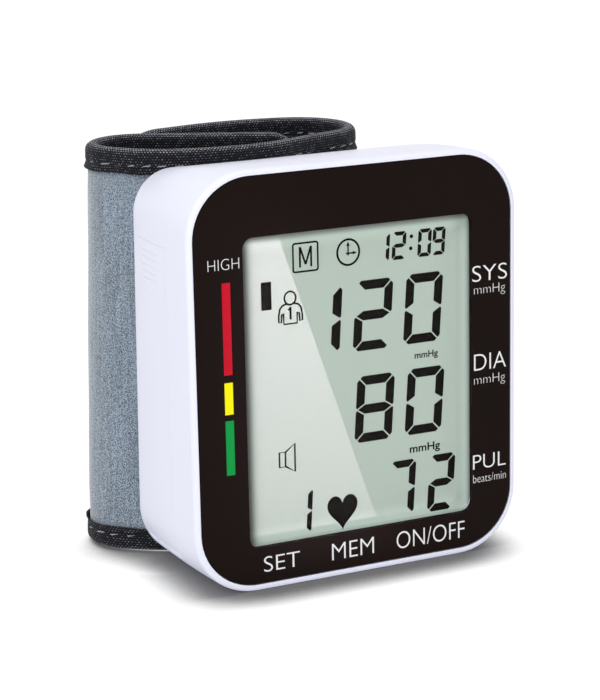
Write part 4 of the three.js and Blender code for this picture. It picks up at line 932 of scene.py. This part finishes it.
# The memory box with its letter, the clock, the battery, the person with a 1, the heart, the speaker and the units.
def displaySigns():
    signs = []

    def stroke(kind, points, closed=False):
        signs.append(inkStroke(points, signWidths[kind], displayY, closed))

    def plate(outline):
        signs.append(inkPlate(outline, displayY))

    stroke("box", roundedOutline([-11.3, -6.43], [56.84, 61.96], 0.4, 0.4), closed=True)
    for line in ([[-9.95, 57.6], [-9.95, 61.3]], [[-7.75, 57.6], [-7.75, 61.3]],
                 [[-9.9, 61.2], [-8.85, 58.1]], [[-7.8, 61.2], [-8.85, 58.1]]):
        stroke("letter", line)
    stroke("clock", circle((-0.37, 59.36), (2.2, 2.32), 48), closed=True)
    stroke("hand", [[-0.4, 58.75], [-0.4, 61.0]])
    stroke("hand", [[-0.85, 59.15], [0.9, 59.15]])
    plate([[-0.75, 60.5], [-0.05, 60.5], [-0.4, 61.35]])
    plate([[0.55, 58.82], [1.35, 59.15], [0.55, 59.5]])
    plate([[-17.69, 50.66], [-15.68, 50.66], [-15.68, 55.72], [-17.69, 55.72]])
    stroke("person", circle((-12.05, 52.35), (1.12, 1.2), 32), closed=True)
    stroke("person", [
        [-12.75, 51.35], [-13.6, 51.1], [-14.1, 50.5], [-14.33, 49.4], [-14.35, 48.15], [-13.85, 48.05],
        [-13.75, 49.5], [-13.4, 49.7], [-13.35, 47.7], [-10.75, 47.7], [-10.7, 49.7], [-10.3, 49.5],
        [-10.2, 48.05], [-9.7, 48.15], [-9.72, 49.4], [-9.95, 50.5], [-10.45, 51.1], [-11.35, 51.35],
    ])
    stroke("number", [[-12.02, 48.45], [-12.02, 50.75]])
    stroke("numberTip", [[-12.5, 50.2], [-12.0, 50.6]])
    plate(heartOutline([-5.45, 0.75], [7.75, 14.4]))
    stroke("speaker", [[-14.85, 21.5], [-14.85, 24.25], [-13.65, 24.25], [-13.65, 21.5]], closed=True)
    stroke("speaker", [[-13.65, 24.2], [-11.75, 25.6], [-11.75, 20.35], [-13.65, 21.55]])
    for x, z in (([12.9, 17.77], [37.67, 39.32]), ([11.72, 18.1], [19.8, 21.84])):
        signs.append(wordMesh("mmHg", x, z, displayY, ink["unitWeight"]))
    return joinedMesh("displaySigns", signs)


for name, mesh in (("displayDigits", displayDigits()), ("displaySigns", displaySigns())):
    mesh.transform(Matrix.Translation(np.array(ink["shift"]) * mm))
    place(name, mesh, prints["display"], "main", creaseDegrees=30)
print("prints made")


# The cuff: an outer fabric, a lining and a folded binding tape with a running stitch, in three stretches along the
# band.

def bandPlace(s):
    return tuple(onBand(s, 0.0, cuffFoot, lean=0) * mm)


cloth = {
    "fabricOut": 0.85, "fabricIn": 0.55, "edge": 0.7, "flapCorner": 12.0, "tongueCorner": 6.0, "puff": 0.22,
    "puffFrom": 4.2, "puffOver": 5, "puffEven": 0.55, "puffWaves": 0.45, "puffSeed": 1.3, "along": 0.7, "up": 40,
    "padUp": 60, "arcSteps": 14, "waves": [(0.31, 0.11), (0.17, -0.23), (0.53, 0.05)],
}
tape = {
    "reach": 4.5, "wall": 0.35, "flare": 0.26, "flareFrom": 0.9, "flarePower": 8, "arcSteps": 20, "endSteps": 36,
    "faceSteps": 12, "foldSteps": 13, "slow": 0.035, "paces": (0.9, 0.37), "quick": 0.02, "quickPace": 2.3,
    "hem": 0.1, "hemPace": 0.6, "hemFrom": 3.5,
}
stitch = {"reach": 2.95, "pitch": 3.0, "length": 2.2, "width": 0.23, "height": 0.14, "slant": 0.1, "dip": 0.16,
          "dipWidth": 0.5, "rings": 8, "sides": 6, "endPower": 4, "tip": 0.02}
# Each stretch: its ends along the band, which of them is free, the bodies that it joins and where it starts and
# ends to bend between them, and the cuff's parts and tapes in the CAD that it stands for.
stretches = {
    "Left": {
        "start": tongueEnd, "end": -8.0, "free": -1, "corner": cloth["tongueCorner"],
        "bodies": ("main", "cuff_tongue"), "bend": [(-0.036, 0.0287, 0.0), (-0.032, 0.0368, 0.0)],
        "parts": ["tongue"], "tapes": ["tongue"],
    },
    "Middle": {
        "start": -8.0, "end": 37.0, "free": 0, "corner": 0.0,
        "bodies": ("main", "cuff_flap_root"), "bend": [bandPlace(24.0), bandPlace(36.5)],
        "parts": ["fixed", "flap_root"], "tapes": ["fixed_top", "fixed_foot", "flap_root_top", "flap_root_foot"],
    },
    "Right": {
        "start": 37.0, "end": flapEnd, "free": 1, "corner": cloth["flapCorner"],
        "bodies": ("cuff_flap_root", "cuff_flap"), "bend": [bandPlace(37.5), bandPlace(50.0)],
        "parts": ["flap"], "tapes": ["flap"],
    },
}


def softWave(s, z, seed):  # slow waves over the cloth, the mean of sines that run in different directions
    return sum(np.sin(a * s + b * z + i * seed) for i, (a, b) in enumerate(cloth["waves"], 1)) / len(cloth["waves"])


def addMap(mesh, places):  # the cloth map, from each point's own place in millimetres
    layer = mesh.uv_layers.new(name="cloth")
    corners = np.zeros(len(mesh.loops), np.int32)
    mesh.loops.foreach_get("vertex_index", corners)
    layer.data.foreach_set("uv", places.reshape(-1, 2)[corners].astype(np.float32).ravel())
    return mesh


def travelled(points):  # the way along a line of points, summed up
    return np.concatenate([[0], np.cumsum(np.hypot(*np.diff(points[:, :2], axis=0).T))])


# A flat body on the band between two offsets from its middle line: up its one face and down its other.
def bandBody(name, s, z, offsets):
    def thereAndBack(first, second):
        return np.concatenate([first, second[:, ::-1]], 1)

    places = np.stack([s, z], -1)
    mesh = loft(name, thereAndBack(*(onBand(s, offset, z) for offset in offsets)))
    return addMap(mesh, thereAndBack(places, places))


# A layer of cloth. Its height shrinks towards a free end as a round corner's does, by the radius less the root of
# the radius squared less the way past squared, and its outer face puffs out a little between the tapes.
def clothLayer(name, stretch, side):
    start, end, free = stretch["start"], stretch["end"], stretch["free"]
    edge, corner = cloth["edge"], stretch["corner"] - cloth["edge"]
    start, end = start + (edge if free < 0 else 0), end - (edge if free > 0 else 0)
    s = np.linspace(start, end, int((end - start) / cloth["along"]) + 1)
    drop = s * 0
    tip = end if free > 0 else start
    if free:
        bendStart = tip - free * corner
        curve = tip - free * corner * (1 - np.sin(np.linspace(0, quarter, cloth["arcSteps"])))
        s = np.unique(np.concatenate([s[(s - bendStart) * free < 0], curve]))
        past = np.clip((s - bendStart) * free, 0, corner)
        drop = corner - np.sqrt(np.clip(corner ** 2 - past ** 2, 0, None))
    low, high = (cuffFoot + edge + drop)[:, None], (cuffTop - edge - drop)[:, None]
    z = low + (high - low) * np.linspace(0, 1, cloth["up"] + 1)
    s = np.broadcast_to(s[:, None], z.shape)

    def pastTape(distance):
        return np.clip((distance - cloth["puffFrom"]) / cloth["puffOver"], 0, 1)

    swell = eased(pastTape(np.minimum(z - low, high - z))) * (pastTape(np.abs(s - tip)) if free else 1)
    waves = cloth["puffEven"] + cloth["puffWaves"] * softWave(s, z, cloth["puffSeed"] + side)
    outer = cloth["fabricOut"] + swell * cloth["puff"] * waves
    return bandBody(name, s, z, [side * outer, side * cloth["fabricIn"]])


# The edge that a tape follows, as distance along the band, height, and the way inward in both. A free end goes
# along the top, round a quarter circle, down the end, round the lower corner and back along the foot.
def edgePaths(stretch):
    def pathPoints(*columns):
        return np.stack(np.broadcast_arrays(*columns), -1)

    start, end, free, r = stretch["start"], stretch["end"], stretch["free"], stretch["corner"]
    count = int((end - start - r) / cloth["along"])
    if not free:
        s = np.linspace(start, end, count)
        return [pathPoints(s, z, 0.0, way) for z, way in ((cuffTop, -1.0), (cuffFoot, 1.0))]
    tip, root = (end, start) if free > 0 else (start, end)
    top = pathPoints(np.linspace(root, tip - free * r, count), cuffTop, 0.0, -1.0)
    a = np.linspace(0, quarter, tape["arcSteps"])[1:]
    arc = pathPoints(tip - free * r * (1 - np.sin(a)), cuffTop - r * (1 - np.cos(a)), -free * np.sin(a),
                     -np.cos(a))
    z = np.linspace(cuffTop - r, (cuffTop + cuffFoot) / 2, tape["endSteps"])[1:]
    side = pathPoints(tip, z, -free, 0.0)
    upper = np.concatenate([top, arc, side])
    lower = upper[::-1][1:] * [1, -1, 1, -1] + [0, cuffTop + cuffFoot, 0, 0]
    return [np.concatenate([upper, lower])]


# The tape's section: from its outer lower edge up over the round fold and down to its inner lower edge, then back
# on the inside. Each point is a reach inward from the edge and an offset from the band's middle. The face dips as
# a bell curve does under the stitches, and flares out at its lower edge by the eighth power of the way down.
def tapeSection():
    half, reach, flare = band["half"], tape["reach"], tape["flare"]
    down = np.linspace(0, 1, tape["faceSteps"])
    fromStitch = (down * reach - stitch["reach"]) / stitch["dipWidth"]
    dip = stitch["dip"] * np.exp(-fromStitch ** 2) - flare * down ** tape["flarePower"]
    a = np.linspace(quarter, -quarter, tape["foldSteps"])[1:-1]
    fold = np.stack([half * (1 - np.cos(a)), half * np.sin(a)], -1)
    outer = np.stack([half + down * (reach - half), half - dip], -1)[::-1]
    skin = np.concatenate([outer, fold, outer[::-1] * [1, -1]])
    inner = half - tape["wall"]
    inside = np.array([[reach, inner + flare], [reach - tape["flareFrom"], inner], [half, inner]])
    innerFold = np.stack([half - inner * np.cos(a[::2]), inner * np.sin(a[::2])], -1)
    return skin, np.concatenate([inside, innerFold, inside[::-1] * [1, -1]])[::-1]


# The tape: its section carried along the edge, a little thicker and thinner and longer and shorter as sines of the
# way along.
def bindingTape(name, path):
    skin, under = tapeSection()
    section = np.concatenate([skin, under])
    s, z, inS, inZ = (path[:, None, i] for i in range(4))
    gone = travelled(path)[:, None]
    reach, offset = section.T
    slow = np.sin(gone * tape["paces"][0]) * np.sin(gone * tape["paces"][1] + 1)
    worn = 1 + tape["slow"] * slow + tape["quick"] * np.sin(gone * tape["quickPace"])
    hem = reach + tape["hem"] * np.sin(gone * tape["hemPace"] + np.sign(offset))
    reach = np.where(reach > tape["hemFrom"], hem, reach)
    mesh = loft(name, onBand(s + inS * reach, offset * worn, z + inZ * reach))
    across = travelled(section)
    across -= across[len(skin) // 2]
    return addMap(mesh, np.stack(np.broadcast_arrays(gone + path[0, 0], across), -1))


# A run of stitches on both faces: each is a half-sunk capsule laid along the edge and turned a little, its height
# and width falling to its ends as a circle's do.
def stitches(name, path):
    gone = travelled(path)
    stations = np.arange(stitch["pitch"] / 2, gone[-1], stitch["pitch"])
    s, z, inS, inZ = (np.interp(stations, gone, path[:, i])[:, None, None] for i in range(4))
    u = np.linspace(-1, 1, stitch["rings"])[:, None]
    a = np.arange(stitch["sides"]) * 2 * math.pi / stitch["sides"]
    thick = np.sqrt(np.clip(1 - np.abs(u) ** stitch["endPower"], stitch["tip"], 1))
    along = u * stitch["length"] / 2
    across = np.cos(a) * thick * stitch["width"] / 2 + along * stitch["slant"]
    offset = band["half"] + (np.sin(a) * thick - 1) * stitch["height"]
    meshes = []
    for side in (1, -1):
        reach = stitch["reach"] + side * across
        rings = onBand(s + inS * reach + inZ * along, side * offset, z + inZ * reach - inS * along)
        count, rows, columns = rings.shape[:3]
        shift = (np.arange(count) * rows * columns)[:, None, None]
        sets = [(faces + shift).reshape(-1, faces.shape[1])
                for faces in (gridFaces(rows, columns), endFaces(rows, columns))]
        meshes.append(outwards(makeMesh(name, rings, *sets)))
    return joinedMesh(name, meshes)


def bentPiece(name, mesh, finish, replaced=()):  # soft: shaded smooth over wider creases, with its place baked into its mesh
    piece = place(name, mesh, finish, replaced=replaced, creaseDegrees=60)
    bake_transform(piece)
    return piece


for name, stretch in stretches.items():
    for layer, side, slot in (("Fabric", 1, "cuff_fabric"), ("Lining", -1, "cuff_lining")):
        replaced = [f"cuff_{part}_{layer.lower()}" for part in stretch["parts"]]
        sheet = clothLayer(layer, stretch, side)
        piece = bentPiece(f"cuff{layer}{name}", sheet, finishes[slot], replaced)
    paths = edgePaths(stretch)
    bentPiece(f"cuffBinding{name}", joinedMesh("tape", [bindingTape("tape", path) for path in paths]),
              finishes["cuff_tape"], [f"cuff_{part}_binding" for part in stretch["tapes"]])
    bentPiece(f"cuffStitching{name}", joinedMesh("seam", [stitches("seam", path) for path in paths]),
              threadFinish)


# A thin pad in or on the band: between two distances along it, two heights and two offsets.
def bandPad(name, span, edge, offsets):
    along = np.linspace(*span, int((span[1] - span[0]) / cloth["along"]) + 1)
    s, z = np.meshgrid(along, np.linspace(cuffFoot + edge, cuffTop - edge, cloth["padUp"]), indexing="ij")
    return bandBody(name, s, z, offsets)


shellShape = {"span": [-26.0, 17.0], "edge": 6.0, "offsets": [0.1, 0.4]}
studShape = {"radius": 1.25, "x": [-18.0, -4.5], "z": [8.5, 68.5]}
studDepths = [nodeRange("cuff_shell")[0][1], seatY - shellShape["offsets"][0]]
studs = [rodMesh((x, z), studShape["radius"], studDepths) for x in studShape["x"] for z in studShape["z"]]
place("cuffShell", joinedMesh("cuffShell", [bandPad("cuffShell", **shellShape), *studs]), finishes["shell_grey"],
      "main", ["cuff_shell"])

bladderShape = {"span": [-24.0, 20.0], "edge": 8.0, "offsets": [-0.4, -0.1]}
bladder = place("airBladder", bandPad("airBladder", **bladderShape), finishes["soft_rubber"], "main",
                ["air_bladder"])

hookShape = {"length": 13.0, "edge": 10.5, "thickness": 0.5, "gap": 0.15, "fromTip": 5.6}
hookEnd = flapEnd - hookShape["fromTip"]
hookSpan = [hookEnd - hookShape["length"], hookEnd]
hookInner = -cloth["fabricOut"] - hookShape["gap"]
hookMesh = bandPad("hookPatch", hookSpan, hookShape["edge"], [hookInner - hookShape["thickness"], hookInner])
hook = place("hookPatch", hookMesh, finishes["hook_black"], "cuff_flap", ["hook_patch"])
print("cuff made")


# The camera, the floor and the lights

view = {"place": (-0.18228, -0.36648, 0.14024), "yaw": 25.78, "pitch": 13.86, "roll": -1.20, "lens": 117.82,
        "sensor": 36, "clip": (0.01, 20)}
lamps = {  # place, aim, size and power
    "keyLamp": ((-0.45, -0.45, 0.55), (0, 0, 0.04), 0.3, 1.8),
    "topLamp": ((0.0, 0.1, 0.9), (0, 0, 0.04), 0.4, 1.5),
    "lowLamp": ((-0.5, -0.7, 0.03), (0, 0, 0.02), 0.3, 2.4),
    "fillLamp": ((0.45, -0.35, 0.35), (0, 0, 0.04), 0.4, 0.3),
}


def viewMatrix():  # rows right, down and forward, from the yaw, then the pitch, then the roll
    yaw, pitch, roll = (math.radians(view[name]) for name in ("yaw", "pitch", "roll"))
    level = np.array([[1, 0, 0], [0, 0, -1], [0, 1, 0]])

    def turn(angle, i, j):
        matrix = np.eye(3)
        matrix[i, i] = matrix[j, j] = math.cos(angle)
        matrix[i, j], matrix[j, i] = -math.sin(angle), math.sin(angle)
        return matrix

    return turn(roll, 0, 1) @ turn(pitch, 1, 2) @ level @ turn(yaw, 0, 1)


def makeCamera():
    data = bpy.data.cameras.new("camera")
    data.lens, data.sensor_width, data.sensor_fit = view["lens"], view["sensor"], "AUTO"
    data.clip_start, data.clip_end = view["clip"]
    camera = addObject("camera", data)
    right, down, forward = viewMatrix()
    turned = Matrix(np.column_stack([right, -down, -forward]).tolist()).to_4x4()
    camera.matrix_world = Matrix.Translation(view["place"]) @ turned
    bpy.context.scene.camera = camera


def areaLight(name, at, towards, size, power):
    data = bpy.data.lights.new(name, "AREA")
    data.size, data.energy = size, power
    lamp = addObject(name, data)
    lamp.rotation_mode = "QUATERNION"
    lamp.rotation_quaternion = Vector(np.array(towards) - np.array(at)).to_track_quat("-Z", "Y")
    lamp.location = at


stage = {"floor": 3.0, "floorShade": 0.85, "worldFill": 0.6, "shadowReach": 0.0113, "shareLit": 0.15, "glow": 1.12,
         "shadowWay": (0.13, 0.8, 0.6)}


def seenRays(tree):  # 1 for rays from the camera, from gloss and through glass
    rays = addNode(tree, "ShaderNodeLightPath").outputs
    seen = maths(tree, "MAXIMUM", rays["Is Camera Ray"], rays["Is Glossy Ray"])
    return maths(tree, "MAXIMUM", seen, rays["Is Transmission Ray"])


def stageSheet(name, corners, paper):  # a flat piece of the stage, with a material of its own to fill in
    material, tree, shader = newMaterial(paper)
    tree.nodes.remove(shader)
    sheet = place(name, makeMesh(name, corners, np.array([[0, 1, 2, 3]])), material)
    return sheet, tree


# The floor: white paper. Where it is seen it glows white, with a painted contact shadow close to what stands on it,
# taken from the occlusion there and stronger on the side that faces away from the light.
def makeFloor():
    half = stage["floor"] / mm / 2
    _, tree = stageSheet("floor", [[-half, -half, 0], [half, -half, 0], [half, half, 0], [-half, half, 0]],
                         "floorPaper")
    way = addNode(tree, "ShaderNodeCombineXYZ", dict(enumerate(stage["shadowWay"])))
    near = addNode(tree, "ShaderNodeAmbientOcclusion", {"Distance": stage["shadowReach"], "Normal": way.outputs[0]},
                   samples=16)
    # painted contact shadow: the glow of the seen floor is darkened by the occlusion near the object
    paintedContactShadow = ramp(tree, near.outputs["AO"], (0.33, (0.05, 0.05, 0.052)), (0.46, (0.10, 0.10, 0.103)),
                  (0.53, (0.22, 0.22, 0.225)), (0.60, (0.38, 0.38, 0.385)), (0.70, (0.72, 0.72, 0.72)),
                  (0.78, (0.92, 0.92, 0.92)), (0.87, (1, 1, 1)))
    lit = addNode(tree, "ShaderNodeBsdfDiffuse", {"Color": (stage["floorShade"],) * 3 + (1,)})
    glow = addNode(tree, "ShaderNodeEmission", {"Color": paintedContactShadow, "Strength": stage["glow"]})
    share = maths(tree, "MULTIPLY", seenRays(tree), 1 - stage["shareLit"])
    showShader(tree, addNode(tree, "ShaderNodeMixShader", {0: share, 1: lit.outputs[0], 2: glow.outputs[0]}))


def makeWorld():
    world = bpy.data.worlds.new("paper")
    bpy.context.scene.world = world
    world.use_nodes = True
    tree = world.node_tree
    background = tree.nodes["Background"].inputs
    strength = maths(tree, "MULTIPLY_ADD", seenRays(tree), 1 - stage["worldFill"], stage["worldFill"])
    tree.links.new(strength, background["Strength"])
    background["Color"].default_value = (1, 1, 1, 1)


# A bright card that only gloss sees: the camera's rays are mirrored in the display at the corners of the shape
# that the card is to fill there, and followed to a plane in front. It is brightest near its top, and fades out
# close to its left and top edges.
glare = {"planeY": -27.0, "foot": 4.1, "top": 8.7, "edge": [(-13.96, 63.63), (5.28, 7.39)], "leftX": -20.9,
         "low": 6.8, "high": 63.9, "fade": [2.0, 1.5], "colour": (1.0, 0.84, 0.94, 1.0)}


def glareCard():
    eye = np.array(view["place"]) / mm
    (topX, topZ), (footX, footZ) = glare["edge"]
    slope = (footX - topX) / (footZ - topZ)
    points = []
    for x, z in ((topX + slope * (glare["high"] - topZ), glare["high"]),
                 (footX + slope * (glare["low"] - footZ), glare["low"]),
                 (glare["leftX"], glare["low"]), (glare["leftX"], glare["high"])):
        hit = np.array([x, displayY, z])
        way = (hit - eye) * [1, -1, 1]
        points.append(hit + way * (glare["planeY"] - displayY) / way[1])
    card, tree = stageSheet("glareCard", points, "glareCard")
    across, _, up = separated(tree, objectPlace(tree))
    low, high = np.min(points, 0) * mm, np.max(points, 0) * mm
    left, foot, top = float(low[0]), float(low[2]), float(high[2])
    strength = rise(tree, up, foot, top, glare["foot"], glare["top"])
    fromLeft = rise(tree, across, left, left + glare["fade"][0] * mm, 0.0, 1.0)
    fromTop = rise(tree, up, top, top - glare["fade"][1] * mm, 0.0, 1.0)
    strength = maths(tree, "MULTIPLY", strength, maths(tree, "MULTIPLY", fromLeft, fromTop))
    showShader(tree, addNode(tree, "ShaderNodeEmission", {"Color": glare["colour"], "Strength": strength}))
    card.visible_camera = card.visible_diffuse = card.visible_shadow = False


makeCamera()
makeFloor()
makeWorld()
glareCard()
for name, settings in lamps.items():
    areaLight(name, *settings)
bpy.context.scene.view_settings.view_transform = "Standard"
print("stage made")
